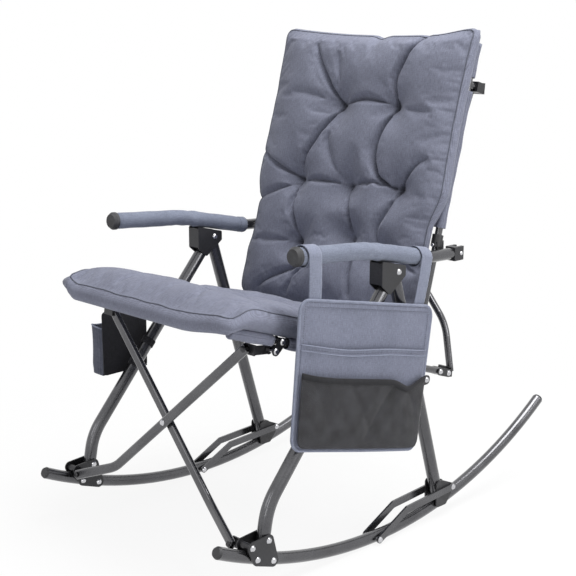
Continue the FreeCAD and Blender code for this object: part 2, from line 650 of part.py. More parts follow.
def make_arm_ends():
    ahead = (ARM_TIP - ARM_BEND).normalize()
    spigot = cylinder("arm_spigot", ARM_TIP - ahead * size("plug_depth"),
                      ARM_TIP + ahead * size("plug_head"),
                      "Sizes.arm_outer / 2 - Sizes.arm_wall - Sizes.touch_gap")
    rim = cylinder("arm_plug_rim", ARM_TIP + ahead * GAP, ARM_TIP + ahead * (size("arm_plug_head") / 2),
                   "Sizes.arm_plug_outer / 2")
    nose = cone("arm_plug_nose", ARM_TIP + ahead * (size("arm_plug_head") / 2),
                ARM_TIP + ahead * size("arm_plug_head"),
                "Sizes.arm_plug_outer / 2", "Sizes.arm_plug_outer / 2 - Sizes.arm_plug_head / 3")
    keep_both("arm_plug", fuse("left_arm_plug", spigot, rim, nose))
    back = (ARM_END - ARM_DIP).normalize()
    wide, high, long = size("clevis_wide") / 2, size("clevis_high") / 2, size("clevis_long")
    start = ARM_END.y - long / 3
    block = box("clevis_block", Vector(HALF - wide, start, ARM_END.z - high),
                Vector(HALF + wide, start + long, ARM_END.z + high))
    socket = cylinder("clevis_socket", ARM_END - back * long, ARM_END + back * GAP,
                      "Sizes.arm_outer / 2 + Sizes.running_gap")
    slot = size("clevis_slot") / 2
    gap_low = Vector(HALF - slot, ARM_END.y + PLATE, ARM_END.z - 2 * high)
    opening = box("clevis_opening", gap_low, Vector(HALF + slot, start + 2 * long, ARM_END.z + 2 * high))
    pin = hole("clevis_hole", (ARM_END.y + PLATE + start + long) / 2, ARM_END.z, HALF - 2 * wide,
               HALF + 2 * wide)
    keep_both("arm_clevis", cut("left_arm_clevis", block, socket, opening, pin))


def make_arm_bracket():
    y_front, y_rear = size("bracket_front_y"), size("bracket_rear_y")
    y_tip, z_tip = size("bracket_tip_y"), size("bracket_tip_z")
    rim = size("bracket_round")
    under = size("sleeve_outer") / 2 + rim + 2 * GAP
    fall = math.hypot(1, (ARM_DIP.z - ARM_BEND.z) / (ARM_DIP.y - ARM_BEND.y))
    z_front = arm_z(y_front) - under * fall
    z_rear = arm_z(y_rear) - under * fall
    corners = [(y_front + rim, z_front), (y_front + rim, size("bracket_web_z")), (y_tip, z_tip),
               (y_rear - rim, APEX[1] - 2 * rim),
               (y_rear - rim, z_rear)]
    pin = hole("bracket_hole", *APEX, HALF - 2 * PLATE_OUT, HALF + 2 * PLATE_OUT)
    plates = plate_pair("arm_bracket", rounded_outline(corners, rim), [pin])
    web = box("arm_bracket_web", Vector(HALF - PLATE_IN, y_front, size("bracket_web_z")),
              Vector(HALF + PLATE_IN, y_front + PLATE, z_front))
    keep_both("arm_bracket", fuse("left_arm_bracket", web, *plates))


# Back upright, its collar and the stub that carries the rear cross

def make_collar():
    half = size("collar_long") / 2
    ring_part = cylinder("collar_ring", COLLAR - UP * half, COLLAR + UP * half, "Sizes.collar_outer / 2")
    face = HALF - size("arm_outer") / 2 - GAP
    tab = size("collar_tab") / 2
    low = Vector(face - 2 * PLATE, COLLAR.y - tab, ARM_END.z - PLATE)
    plate = box("collar_plate", low, Vector(face, COLLAR.y + tab, COLLAR.z))
    bore = cylinder("collar_bore", COLLAR - UP * (4 * half), COLLAR + UP * (4 * half),
                    "Sizes.thin_outer / 2 + Sizes.running_gap")
    keep_both("upright_collar", cut("left_upright_collar", fuse("collar_body", ring_part, plate), bore))


def make_upright():
    low = COLLAR - UP * size("upright_below")
    high = COLLAR + UP * size("upright_above")
    pole = cylinder("upright_full", low, high, "Sizes.thin_outer / 2")
    stub = cylinder("stub_full", STUB_BASE, STUB_END, "Sizes.stub_outer / 2")
    pole_bore = cylinder("upright_bore", low, high, "Sizes.thin_outer / 2 - Sizes.thin_wall")
    stub_bore = cylinder("stub_bore", STUB_BASE, STUB_END, "Sizes.stub_outer / 2 - Sizes.thin_wall")
    keep_both("back_upright",
              cut("left_back_upright", fuse("upright_weld", pole, stub), pole_bore, stub_bore))


def make_stub_bracket(side, sign, boss_out):
    half = size("stub_block") / 2
    back = FORWARD * -1
    block = doc.addObject("Part::Box", side + "_stub_block")
    for edge in ("Length", "Width", "Height"):
        block.setExpression(edge, "Sizes.stub_block")
    corner = STUB_END - ALONG_X * half - UP * half - back * (2 * half - PLATE)
    block.Placement = FreeCAD.Placement(corner, FreeCAD.Rotation(ALONG_X, -size("upright_lean")))
    high = size("stub_tab") / 2
    tab = rear_block(side + "_stub_tab", (REAR_FOOT_X - high, REAR_RISE - high, TAB_BACK),
                     (STUB_END.x + half, REAR_RISE + high, TAB_FACE))
    pieces = [block, tab]
    if boss_out > TAB_FACE:
        pieces.append(cylinder(side + "_stub_boss", on_rear(REAR_FOOT_X, REAR_RISE, TAB_BACK),
                               on_rear(REAR_FOOT_X, REAR_RISE, boss_out), "Sizes.rivet_head / 2"))
    socket = cylinder(side + "_stub_socket", STUB_END - back * (4 * half), STUB_END + back * GAP,
                      "Sizes.stub_outer / 2 + Sizes.running_gap")
    bracket = cut(side + "_stub_all", fuse(side + "_stub_body", *pieces), socket)
    if sign < 0:
        bracket = mirror(side + "_stub_bracket", bracket)
    keep(side + "_stub_bracket", bracket)


# Seat rail with its front bracket, pivot clamp and rivets

def make_rails():
    tube = straight_tube("rail", RAIL_FRONT, RAIL_REAR, "Sizes.thin_outer", "Sizes.thin_wall")
    low, high = RAIL_X - 2 * THIN, RAIL_X + 2 * THIN
    fork = RAIL_REAR - RAIL_DIR * size("fork_long")
    rail_holes = [hole("rail_hole_%d" % i, p.y, p.z, low, high) for i, p in enumerate([BRACKET_HIGH, fork])]
    keep_both("seat_rail", cut("left_seat_rail", tube, *rail_holes))
    face = rounded_outline([(BRACKET_LOW.y, BRACKET_LOW.z), (BRACKET_LOW.y + GAP, BRACKET_LOW.z),
                            (BRACKET_HIGH.y, BRACKET_HIGH.z)],
                           size("bracket_margin"))
    holes = [hole("rail_bracket_hole_%d" % i, p.y, p.z, low, high) for i,
             p in enumerate([BRACKET_LOW, BRACKET_HIGH])]
    outer = extrude("rail_bracket_outer_plate", face, RAIL_X + THIN + GAP, "Sizes.plate_thick")
    inner = extrude("rail_bracket_inner_plate", face.copy(), RAIL_X - THIN - GAP - PLATE,
                    "Sizes.plate_thick")
    plates = [cut("rail_bracket_outer", outer, *holes), cut("rail_bracket_inner", inner, *holes)]
    fork_face = slot_outline((fork.y, fork.z), (REAR_PIN.y, REAR_PIN.z), size("fork_margin"))
    holes = [hole("fork_hole_%d" % i, p.y, p.z, low, high) for i, p in enumerate([fork, REAR_PIN])]
    outer = extrude("fork_outer_plate", fork_face, RAIL_X + THIN + GAP, "Sizes.plate_thick")
    inner = extrude("fork_inner_plate", fork_face.copy(), RAIL_X - THIN - GAP - PLATE, "Sizes.plate_thick")
    plates += [cut("fork_outer", outer, *holes), cut("fork_inner", inner, *holes)]
    half = size("rail_clamp_long") / 2
    band = cylinder("rail_clamp_band", RAIL_FOOT - RAIL_DIR * half, RAIL_FOOT + RAIL_DIR * half,
                    "Sizes.rail_clamp_outer / 2")
    ear = extrude("rail_clamp_ear",
                  slot_outline((RAIL_FOOT.y, RAIL_FOOT.z), RAIL_PIN, size("rail_ear_margin")),
                  RAIL_X - size("rail_ear_thick") / 2, "Sizes.rail_ear_thick")
    bore = cylinder("rail_clamp_bore", RAIL_FRONT, RAIL_REAR, "Sizes.thin_outer / 2 + Sizes.running_gap")
    clamp = cut("rail_clamp", fuse("rail_clamp_body", band, ear), bore,
                hole("rail_pin_hole", *RAIL_PIN, low, high))
    keep_both("rail_brackets", group("left_rail_brackets", clamp, *plates))
    edge = THIN + GAP + PLATE
    upper = rivet("rail_rivet_high", BRACKET_HIGH.y, BRACKET_HIGH.z, RAIL_X - edge, RAIL_X + edge)
    lower = rivet("rail_rivet_low", BRACKET_LOW.y, BRACKET_LOW.z, RAIL_X - edge, RAIL_X + edge)
    flush = box("rail_rivet_flush", Vector(0, BRACKET_LOW.y - edge, BRACKET_LOW.z - edge),
                Vector(RAIL_X - edge, BRACKET_LOW.y + edge, BRACKET_LOW.z + edge))
    rear = [rivet("fork_rivet_%d" % i, p.y, p.z, RAIL_X - edge, RAIL_X + edge) for i,
            p in enumerate([fork, REAR_PIN])]
    keep_both("rail_rivets", group("left_rail_rivets", upper, cut("rail_rivet_trim", lower, flush), *rear))


def make_lugs():
    face = rounded_outline([lug_point(), RAIL_PIN, (RAIL_PIN[0], RAIL_PIN[1] + GAP)],
                           size("rail_ear_margin"))
    low, high = HALF - 2 * PLATE_OUT, HALF + 2 * PLATE_OUT
    holes = [hole("lug_leg_hole", *lug_point(), low, high), hole("lug_pin_hole", *RAIL_PIN, low, high)]
    keep_both("rail_lugs", group("left_rail_lugs", *plate_pair("lug", face, holes)))


def make_side_rivets():
    near, far = HALF - PLATE_OUT, HALF + PLATE_OUT
    spots = [("foot_pivot", FOOT_PIVOT, near, far), ("foot_front", FOOT_FRONT, near, far),
             ("foot_rear", FOOT_REAR, near, far),
             ("apex", APEX, near, far), ("lug", lug_point(), near, far),
             ("link_front", LINK_FRONT, HALF - LINK_OUT,
              HALF + LINK_OUT), ("link_rear", LINK_REAR, HALF - LINK_OUT, HALF + LINK_OUT),
             ("rail", RAIL_PIN, RAIL_X - size("rail_ear_thick"), far)]
    rivets = [rivet("rivet_" + name, *point, low, high) for name, point, low, high in spots]
    rivets.append(headed_pin("rivet_barrel", *BARREL, near + GAP, far))
    keep_both("side_rivets", group("left_side_rivets", *rivets))


# Front cross: two bent flat-oval tubes that turn on one rivet, with a two-axis knuckle at each end

def flat_oval(name, line, wide, thick, across):
    half, radius = wide / 2 - thick / 2, thick / 2
    first = line.Shape.Edges[0]
    start = line.Shape.OrderedVertexes[0].Point
    side = first.tangentAt(first.FirstParameter).cross(across).normalize()
    corners = [start + side * half + across * radius, start - side * half + across * radius,
               start - side * half - across * radius, start + side * half - across * radius]
    ends = [start - side * (half + radius), start + side * (half + radius)]
    edges = [Part.makeLine(corners[0], corners[1]), Part.Arc(corners[1], ends[0], corners[2]).toShape(),
             Part.makeLine(corners[2], corners[3]), Part.Arc(corners[3], ends[1], corners[0]).toShape()]
    return feature(name, Part.Wire(edges))


FOOT_X = HALF - size("cross_foot_in")
FOOT_DROP = size("cross_foot_drop")
FOOT_AHEAD = size("cross_foot_ahead")
TOP_X = RAIL_X - size("cross_top_in")
TOP_RISE = size("cross_top_rise")
REAR_FOOT_X = RAIL_X - size("rear_foot_in")


def make_front_brace(name, sign, layer):
    bend_x = FOOT_X - size("cross_bend_in")
    foot = on_cross(-FOOT_X * sign, -FOOT_DROP, FOOT_AHEAD)
    bend = on_cross(-bend_x * sign, -bend_x * TOP_RISE / TOP_X, layer)
    top = on_cross(TOP_X * sign, TOP_RISE, layer)
    end = size("brace_end")
    points = [top + (top - bend).normalize() * end, bend, foot + (foot - bend).normalize() * end]
    line = feature(name + "_line", bent_line(points, size("cross_bend_radius")))
    wide, thick, wall = size("brace_wide"), size("brace_thick"), size("brace_wall")
    full = sweep(name + "_full", line, flat_oval(name + "_outer", line, wide, thick, CROSS_OUT))
    bore = sweep(name + "_bore", line,
                 flat_oval(name + "_inner", line, wide - 2 * wall, thick - 2 * wall, CROSS_OUT))
    reach = CROSS_OUT * wide
    middle = on_cross(0, 0, layer)
    holes = [cylinder("%s_hole_%d" % (name, i), point - reach, point + reach, SHANK_HOLE) for i,
             point in enumerate([foot, middle, top])]
    keep(name, cut(name, cut(name + "_tube", full, bore), *holes))


def cross_rivet(name, middle, out, reach):
    dome = out * size("rivet_dome")
    tip = "Sizes.rivet_head / 2 - Sizes.rivet_dome * 0.8"
    front, back = middle + out * reach, middle - out * reach
    shank = cylinder(name + "_shank", back - dome * 0.5, front + dome * 0.5, SHANK)
    heads = [cone(name + "_front", front, front + dome, "Sizes.rivet_head / 2", tip),
             cone(name + "_back", back, back - dome, "Sizes.rivet_head / 2", tip)]
    keep(name, fuse(name, shank, *heads))


def cross_block(name, low, high):
    item = doc.addObject("Part::Box", name)
    item.Length = high[0] - low[0]
    item.Width = high[2] - low[2]
    item.Height = high[1] - low[1]
    corner = on_cross(low[0], low[1], high[2])
    item.Placement = FreeCAD.Placement(corner, FreeCAD.Rotation(ALONG_X, -math.degrees(CROSS_LEAN)))
    return item


def make_foot_knuckle():
    inner = HALF - PLATE_OUT
    root = Vector(inner - PLATE / 2, *BARREL)
    barrel = cylinder("foot_knuckle_barrel", root, Vector(HALF + PLATE_IN - GAP, *BARREL),
                      "Sizes.barrel_outer / 2")
    boss_front = FOOT_AHEAD - size("brace_thick") / 2 - size("rivet_dome")
    tab_front = boss_front - size("rivet_dome")
    tab_low = (FOOT_X - size("tab_half"), -FOOT_DROP - size("tab_half"), tab_front - size("tab_thick"))
    tab_high = (inner - 2 * GAP, -FOOT_DROP + size("tab_half"), tab_front)
    tab = cross_block("foot_knuckle_tab", tab_low, tab_high)
    pin_back = on_cross(FOOT_X, -FOOT_DROP, tab_front - GAP)
    boss = cylinder("foot_knuckle_boss", pin_back, on_cross(FOOT_X, -FOOT_DROP, boss_front),
                    "Sizes.rivet_head / 2")
    pin_front = on_cross(FOOT_X, -FOOT_DROP, FOOT_AHEAD + size("brace_thick") / 2 + size("rivet_dome"))
    pin = cylinder("foot_knuckle_pin", pin_back, pin_front, SHANK)
    head = cone("foot_knuckle_head", pin_front, pin_front + CROSS_OUT * size("rivet_dome"),
                "Sizes.rivet_head / 2",
                "Sizes.rivet_head / 2 - Sizes.rivet_dome")
    bore = hole("foot_knuckle_bore", *BARREL, inner, HALF + PLATE_OUT)
    body = cut("foot_knuckle_body", fuse("foot_knuckle_blank", barrel, tab), bore)
    keep_both("foot_knuckle", fuse("left_foot_knuckle", body, boss, pin, head))


def make_top_knuckle(side, sign, layer):
    plate_x = RAIL_X - THIN - GAP - PLATE - GAP
    strap = size("strap_thick")
    thick, half = size("tab_thick"), size("tab_half")
    back = -BRACE_LAYER * math.copysign(1, layer) + layer
    low_n, high_n = (back - thick, back) if layer > 0 else (back, back + thick)
    tab = cross_block(side + "_knuckle_tab", (TOP_X - half, TOP_RISE - half, low_n),
                      (plate_x, TOP_RISE + half, high_n))
    root = on_cross(TOP_X, TOP_RISE, (low_n + high_n) / 2)
    arm = extrude(side + "_knuckle_strap",
                  slot_outline((root.y, root.z), (BRACKET_LOW.y, BRACKET_LOW.z), size("strap_half")),
                  plate_x - strap, "Sizes.strap_thick")
    front = on_cross(TOP_X, TOP_RISE, layer + math.copysign(BRACE_LAYER + GAP, layer))
    pin = cylinder(side + "_knuckle_pin", root, front, SHANK)
    out = CROSS_OUT * math.copysign(size("rivet_dome"), layer)
    head = cone(side + "_knuckle_head", front, front + out, "Sizes.rivet_head / 2",
                "Sizes.rivet_head / 2 - Sizes.rivet_dome")
    trim = cross_block(side + "_knuckle_trim", (TOP_X, TOP_RISE - 3 * half, high_n),
                       (HALF, TOP_RISE + 3 * half, high_n + 2 * half))
    body = fuse(side + "_knuckle_body", tab, cut(side + "_knuckle_arm", arm, trim))
    knuckle = fuse(side + "_knuckle_all", body, pin, head)
    if sign < 0:
        knuckle = mirror(side + "_top_knuckle", knuckle)
    keep(side + "_top_knuckle", knuckle)


# Rear cross: two thin tubes from the rails' rear ends up to the stubs behind the back

def on_rear(x, rise, out):
    return Vector(x, REAR_PIN.y, REAR_PIN.z) + REAR_UP * rise + REAR_OUT * out


def rear_block(name, low, high):
    item = doc.addObject("Part::Box", name)
    item.Length = high[0] - low[0]
    item.Width = high[2] - low[2]
    item.Height = high[1] - low[1]
    item.Placement = FreeCAD.Placement(on_rear(*low), FreeCAD.Rotation(ALONG_X, -size("rear_lean")))
    return item


def make_rear_brace(name, sign, layer):
    bend_x, bend_rise = REAR_FOOT_X - size("rear_bend_in"), size("rear_bend_rise")
    foot = on_rear(-REAR_FOOT_X * sign, 0, layer)
    bend = on_rear(-bend_x * sign, bend_rise, layer)
    middle = on_rear(0, REAR_RISE / 2, layer)
    upper = on_rear(bend_x * sign, REAR_RISE - bend_rise, layer)
    top = on_rear(REAR_FOOT_X * sign, REAR_RISE, layer)
    end = size("brace_end")
    points = [foot + (foot - bend).normalize() * end, bend, upper, top + (top - upper).normalize() * end]
    tube = round_tube(name, bent_line(points, size("rear_bend_radius")), "Sizes.thin_outer",
                      "Sizes.thin_wall")
    reach = REAR_OUT * size("thin_outer")
    holes = [cylinder("%s_hole_%d" % (name, i), p - reach, p + reach, SHANK_HOLE) for i,
             p in enumerate([foot, middle, top])]
    keep(name, cut(name, tube, *holes))


def make_rear_knuckle(side, sign, pin_out):
    reach = size("knuckle_reach")
    neck_half = THIN - 2 * GAP
    high = size("tab_half")
    barrel = cylinder(side + "_rear_barrel", REAR_PIN - ALONG_X * THIN, REAR_PIN + ALONG_X * THIN,
                      "Sizes.thin_outer / 2")
    neck = rear_block(side + "_rear_neck", (RAIL_X - neck_half, -neck_half, 0),
                      (RAIL_X + neck_half, neck_half, ARM_FACE))
    arm = rear_block(side + "_rear_arm", (REAR_FOOT_X - high, -high, reach),
                     (RAIL_X + neck_half, high, ARM_FACE))
    bore = hole(side + "_rear_bore", REAR_PIN.y, REAR_PIN.z, RAIL_X - 2 * THIN, RAIL_X + 2 * THIN)
    body = cut(side + "_rear_body", fuse(side + "_rear_blank", barrel, neck, arm), bore)
    radius = SHANK if sign < 0 else "Sizes.rivet_head / 2"
    pieces = [body, cylinder(side + "_rear_pin", on_rear(REAR_FOOT_X, 0, reach),
                             on_rear(REAR_FOOT_X, 0, pin_out), radius)]
    if sign < 0:
        pieces.append(cone(side + "_rear_head", on_rear(REAR_FOOT_X, 0, pin_out),
                           on_rear(REAR_FOOT_X, 0, pin_out + size("rivet_dome")),
                           "Sizes.rivet_head / 2", "Sizes.rivet_head / 2 - Sizes.rivet_dome"))
    knuckle = fuse(side + "_rear_all", *pieces)
    if sign < 0:
        knuckle = mirror(side + "_rear_knuckle", knuckle)
    keep(side + "_rear_knuckle", knuckle)


# Seat and back: padded cushions on cloth slings

def cushion_section(origin, along_up, half, edge, crown, bulge):
    def point(x, rise):
        return origin + ALONG_X * x + along_up * rise
    inner = half - bulge
    corners = [point(-inner, 0), point(inner, 0), point(inner, edge), point(-inner, edge)]
    edges = [Part.makeLine(corners[0], corners[1]),
             Part.Arc(corners[1], point(half, edge / 2), corners[2]).toShape(),
             Part.Arc(corners[2], point(0, crown), corners[3]).toShape(),
             Part.Arc(corners[3], point(-half, edge / 2), corners[0]).toShape()]
    return Part.Wire(edges)


def tuft_balls(name, origin, along, rise, height, spots, depth):
    radius = size("tuft_ball")
    balls = []
    for i, (x, share) in enumerate(spots):
        ball = doc.addObject("Part::Sphere", "%s_tuft_%d" % (name, i))
        ball.setExpression("Radius", "Sizes.tuft_ball")
        ball.Placement.Base = origin + ALONG_X * x + along * share + rise * (height(x,
                                                                                    share) + radius - depth)
        balls.append(ball)
    return balls


def crown_height(half, edge, crown, rise=0.0):
    return lambda x, share: edge + (crown - edge) * (1 - (x / half) ** 2) + rise * share


# Cross sections of the seat cushion: share of its length, then of its width and thickness there
SEAT_STATIONS = [(0.0, 0.95, 0.7), (0.06, 1.0, 1.0), (0.3, 1.0, 1.0), (0.7, 1.0, 1.0), (0.94, 0.98, 0.95),
                 (1.0, 0.94, 0.6)]


def make_seat_cushion():
    half, edge, crown = RAIL_X + size("seat_over"), size("seat_edge"), size("seat_crown")
    long = size("rail_ahead") + size("seat_front") - size("seat_rear_gap")
    draw, wedge, bulge = size("seat_draw"), size("seat_wedge"), size("side_bulge")
    base = Vector(0, RAIL_FRONT.y,
                  RAIL_FRONT.z) - RAIL_DIR * size("seat_front") + RAIL_UP * size("cushion_lift")
    wires = []
    for share, wide, full in SEAT_STATIONS:
        waist = draw * math.sin(math.pi * share)
        rim, dome = (edge + wedge * share) * full, (crown + wedge * share) * full
        wires.append(cushion_section(base + RAIL_DIR * (long * share), RAIL_UP, half * wide - waist, rim,
                                     dome, bulge))
    pad = feature("seat_pad", Part.makeLoft(wires, True, False))
    pitch = size("tuft_pitch")
    front, rear = long * size("seat_tuft_front"), long * size("seat_tuft_rear")
    spots = [(-pitch / 2, front), (pitch / 2, front), (-pitch, rear), (0, rear), (pitch, rear)]
    height = crown_height(half, edge, crown, wedge / long)
    balls = tuft_balls("seat", base, RAIL_DIR, RAIL_UP, height, spots, size("seat_tuft"))
    keep("seat_cushion", cut("seat_cushion", pad, *balls))


# Stations up the back cushion: share of its part below (minus) or above the collars, which of its widths
# it has there, the share of that width, and its share of the full thickness
BACK_STATIONS = [(-1.0, "lower", 0.96, 0.7), (-0.8, "lower", 1.0, 1.0), (-0.46, "lower", 1.0, 1.0),
                 (-0.26, "waist", 1.0, 1.0), (0.06, "waist", 1.0, 1.0), (0.24, "upper", 1.0, 1.0),
                 (0.6, "drawn", 1.0, 1.0), (0.94, "upper", 1.0, 0.9), (1.0, "upper", 0.97, 0.6)]


def make_back_cushion():
    half = COLLAR.x + size("back_over")
    widths = {"lower": COLLAR.x + size("back_low_over"), "waist": COLLAR.x - size("back_waist_in"),
              "upper": half, "drawn": half - size("back_draw")}
    edge, crown = size("back_edge"), size("back_crown")
    low, high, bulge = size("back_low"), size("back_high"), size("side_bulge")
    base = Vector(0, COLLAR.y, COLLAR.z) + FORWARD * size("cushion_lift")
    wires = []
    for share, kind, wide, full in BACK_STATIONS:
        middle = base + UP * (share * (high if share > 0 else low))
        wires.append(cushion_section(middle, FORWARD, widths[kind] * wide, edge * full, crown * full, bulge))
    pad = feature("back_pad", Part.makeLoft(wires, True, False))
    pitch = size("tuft_pitch")
    rows = [("tuft_row_top", (-0.5, 0.5)), ("tuft_row_middle", (-1, 0, 1)), ("tuft_row_low", (-1, 0, 1))]
    spots = [(pitch * place_in_row, size(alias)) for alias, row in rows for place_in_row in row]
    balls = tuft_balls("back", base, UP, FORWARD, crown_height(half, edge, crown), spots, size("back_tuft"))
    keep("back_cushion", cut("back_cushion", pad, *balls))


def cloth_sling(name, start, end, along, up, reach_x, clear):
    cloth = size("cloth_thick")
    outer = "Sizes.thin_outer / 2 + Sizes.touch_gap + Sizes.cloth_thick"
    pieces = []
    for sign in (-1, 1):
        shift = ALONG_X * (reach_x * sign)
        pieces.append(cylinder("%s_sleeve_%d" % (name, sign), start + shift, end + shift, outer))
    web = doc.addObject("Part::Box", name + "_web")
    web.Length = 2 * reach_x
    web.Width = (end - start).Length
    web.setExpression("Height", "Sizes.cloth_thick")
    turn = FreeCAD.Rotation(ALONG_X, along, up, "XYZ")
    web.Placement = FreeCAD.Placement(start - ALONG_X * reach_x - up * (cloth / 2), turn)
    bores = []
    for sign in (-1, 1):
        shift = ALONG_X * (reach_x * sign)
        bores.append(cylinder("%s_bore_%d" % (name, sign), start + shift - along, end + shift + along,
                              "Sizes.thin_outer / 2 + Sizes.touch_gap"))
    keep(name, cut(name, fuse(name + "_cloth", web, *pieces), *bores, *clear))


def make_slings():
    middle = Vector(0, RAIL_FOOT.y, RAIL_FOOT.z)
    start = middle - RAIL_DIR * (size("rail_ahead") - PLATE)
    end = middle - RAIL_DIR * (size("rail_clamp_long") / 2 + PLATE)
    wide = size("bracket_margin") + size("bracket_pin_drop")
    clear = []
    for sign in (-1, 1):
        spot = Vector(BRACKET_HIGH.x * sign, BRACKET_HIGH.y, BRACKET_HIGH.z)
        clear.append(cylinder("seat_sling_notch_%d" % sign, spot - ALONG_X * wide, spot + ALONG_X * wide,
                              "Sizes.bracket_margin + Sizes.bracket_back_step + Sizes.plate_thick"))
    cloth_sling("seat_sling", start, end, RAIL_DIR, RAIL_UP, RAIL_X, clear)
    middle = Vector(0, COLLAR.y, COLLAR.z)
    start = middle + UP * (size("collar_long") / 2 + PLATE)
    end = middle + UP * size("upright_above")
    clear = []
    for sign in (-1, 1):
        spot = Vector(STUB_BASE.x * sign, STUB_BASE.y, STUB_BASE.z)
        clear.append(cylinder("back_sling_notch_%d" % sign, spot, spot - FORWARD * STUB_LONG,
                              "Sizes.stub_block"))
    cloth_sling("back_sling", start, end, UP, FORWARD * -1, COLLAR.x, clear)


# Bags: organizer on the left arm, bag on the right front leg

def panel_corners(top_drop, inset):
    front, rear = (size("panel_front_y"), size("panel_front_z")), (size("panel_rear_y"),
                                                                   size("panel_rear_z"))
    corners = []
    for (y, z), deep, swept, turn in ((front, size("panel_deep_front"), size("panel_sweep_front"), 1),
                                      (rear, size("panel_deep_rear"), size("panel_sweep_rear"), -1)):
        share = top_drop / deep
        corners.append(((y - swept * share + inset * turn, z - top_drop),
                        (y - swept + inset * turn, z - deep + inset)))
    (front_top, front_low), (rear_top, rear_low) = corners
    return [front_top, rear_top, rear_low, front_low]


def shrunk_outline(points, radius):
    corners = [Vector(0, y, z) for y, z in points]
    inner = Part.makePolygon(corners + corners[:1]).makeOffset2D(-radius, 2)
    return Part.Face(inner.makeOffset2D(radius))


def open_pocket(name, drop, x_start, deep):
    wall = size("pocket_wall")
    inset = size("pocket_inset")
    outline = shrunk_outline(panel_corners(drop, inset), size("pocket_inset") / 2)
    room = panel_corners(drop - 4 * inset, inset + wall)
    shell = extrude(name + "_shell", outline, x_start, "Sizes.%s" % deep)
    hollow = extrude(name + "_room", shrunk_outline(room, wall), x_start,
                     "Sizes.%s - Sizes.pocket_wall" % deep)
    keep(name, cut(name, shell, hollow))


def make_organizer():
    x_panel = HALF + size("panel_off")
    face = shrunk_outline(panel_corners(0, 0), size("panel_round"))
    panel = extrude("organizer_back", face, x_panel, "Sizes.panel_thick")
    x_pocket = x_panel + size("panel_thick") + GAP
    open_pocket("organizer_pocket", size("pocket_hem"), x_pocket, "pocket_deep")
    open_pocket("organizer_mesh", size("mesh_hem"), x_pocket + size("pocket_deep") + GAP, "mesh_deep")
    straps = []
    wide = size("strap_wide") / 2
    narrow = wide - size("strap_tail_in")
    top_long = size("panel_rear_y") - size("panel_front_y")
    top_slope = (size("panel_rear_z") - size("panel_front_z")) / top_long
    along = (STRAP_REAR - STRAP_FRONT).normalize()
    rear_most = size("panel_rear_y") - wide - size("strap_rear_inset")
    for name, middle in (("front", STRAP_FRONT), ("rear", STRAP_REAR)):
        y = min(middle.y, rear_most)
        loop = cylinder("strap_loop_" + name, middle - along * wide, middle + along * wide,
                        "Sizes.sleeve_outer / 2 + Sizes.strap_cloth + Sizes.strap_room")
        edge_z = size("panel_front_z") + (y - size("panel_front_y")) * top_slope
        tail_low = edge_z - wide * abs(top_slope)
        corners = [Vector(0, y - narrow, tail_low), Vector(0, y + narrow, tail_low),
                   Vector(0, middle.y + narrow, middle.z), Vector(0, middle.y - narrow, middle.z)]
        face = Part.Face(Part.makePolygon(corners + corners[:1]))
        tail = extrude("strap_tail_" + name, face, x_panel - size("strap_cloth") / 2,
                       "Sizes.strap_cloth * 1.5")
        core = cylinder("strap_core_" + name, middle - along * (3 * wide), middle + along * (3 * wide),
                        "Sizes.sleeve_outer / 2 + Sizes.strap_room")
        straps.append(cut("strap_" + name, fuse("strap_body_" + name, loop, tail), core))
    keep("organizer_panel", fuse("organizer_panel", panel, *straps))


def make_pouch():
    wall = size("pouch_wall")
    x_in = -HALF - size("panel_off")
    y_low, y_high = size("pouch_front_y"), size("pouch_front_y") + size("pouch_long")
    z_low = size("pouch_low_z")
    z_rim = z_low + size("pouch_high")
    panel = box("pouch_panel", Vector(x_in - wall, y_low, z_low),
                Vector(x_in, y_high, z_rim + size("pouch_flap")))
    pocket = box("pouch_pocket", Vector(x_in - size("pouch_deep"), y_low, z_low),
                 Vector(x_in, y_high, z_rim))
    room = box("pouch_room", Vector(x_in - size("pouch_deep") + wall, y_low + wall, z_low + wall),
               Vector(x_in - wall, y_high - wall, z_rim + wall))
    pieces = [cut("pouch_bag", fuse("pouch_body", panel, pocket), room)]
    bend = Vector(-HALF, size("leg_bend_y"), size("leg_bend_z"))
    along = (Vector(-HALF, size("leg_top_y"), size("leg_top_z")) - bend).normalize()
    half = size("loop_wide") / 2
    loops = []
    cores = []
    for name, alias in (("low", "loop_low_z"), ("high", "loop_high_z")):
        spot = bend + along * ((size(alias) - bend.z) / along.z)
        loops.append(cylinder("pouch_loop_" + name, spot - along * half, spot + along * half,
                              "Sizes.leg_outer / 2 + Sizes.touch_gap + Sizes.loop_cloth"))
        loops.append(box("pouch_loop_tail_" + name,
                         Vector(x_in - wall / 2, spot.y - half, spot.z - half / 2),
                         Vector(-HALF - size("leg_outer") / 2, spot.y + half, spot.z + half / 2)))
        cores.append(cylinder("pouch_core_" + name, spot - along * (4 * half), spot + along * (4 * half),
                              "Sizes.leg_outer / 2 + Sizes.touch_gap"))
    keep("right_pouch", cut("right_pouch", fuse("pouch_sewn", *pieces, *loops), *cores))


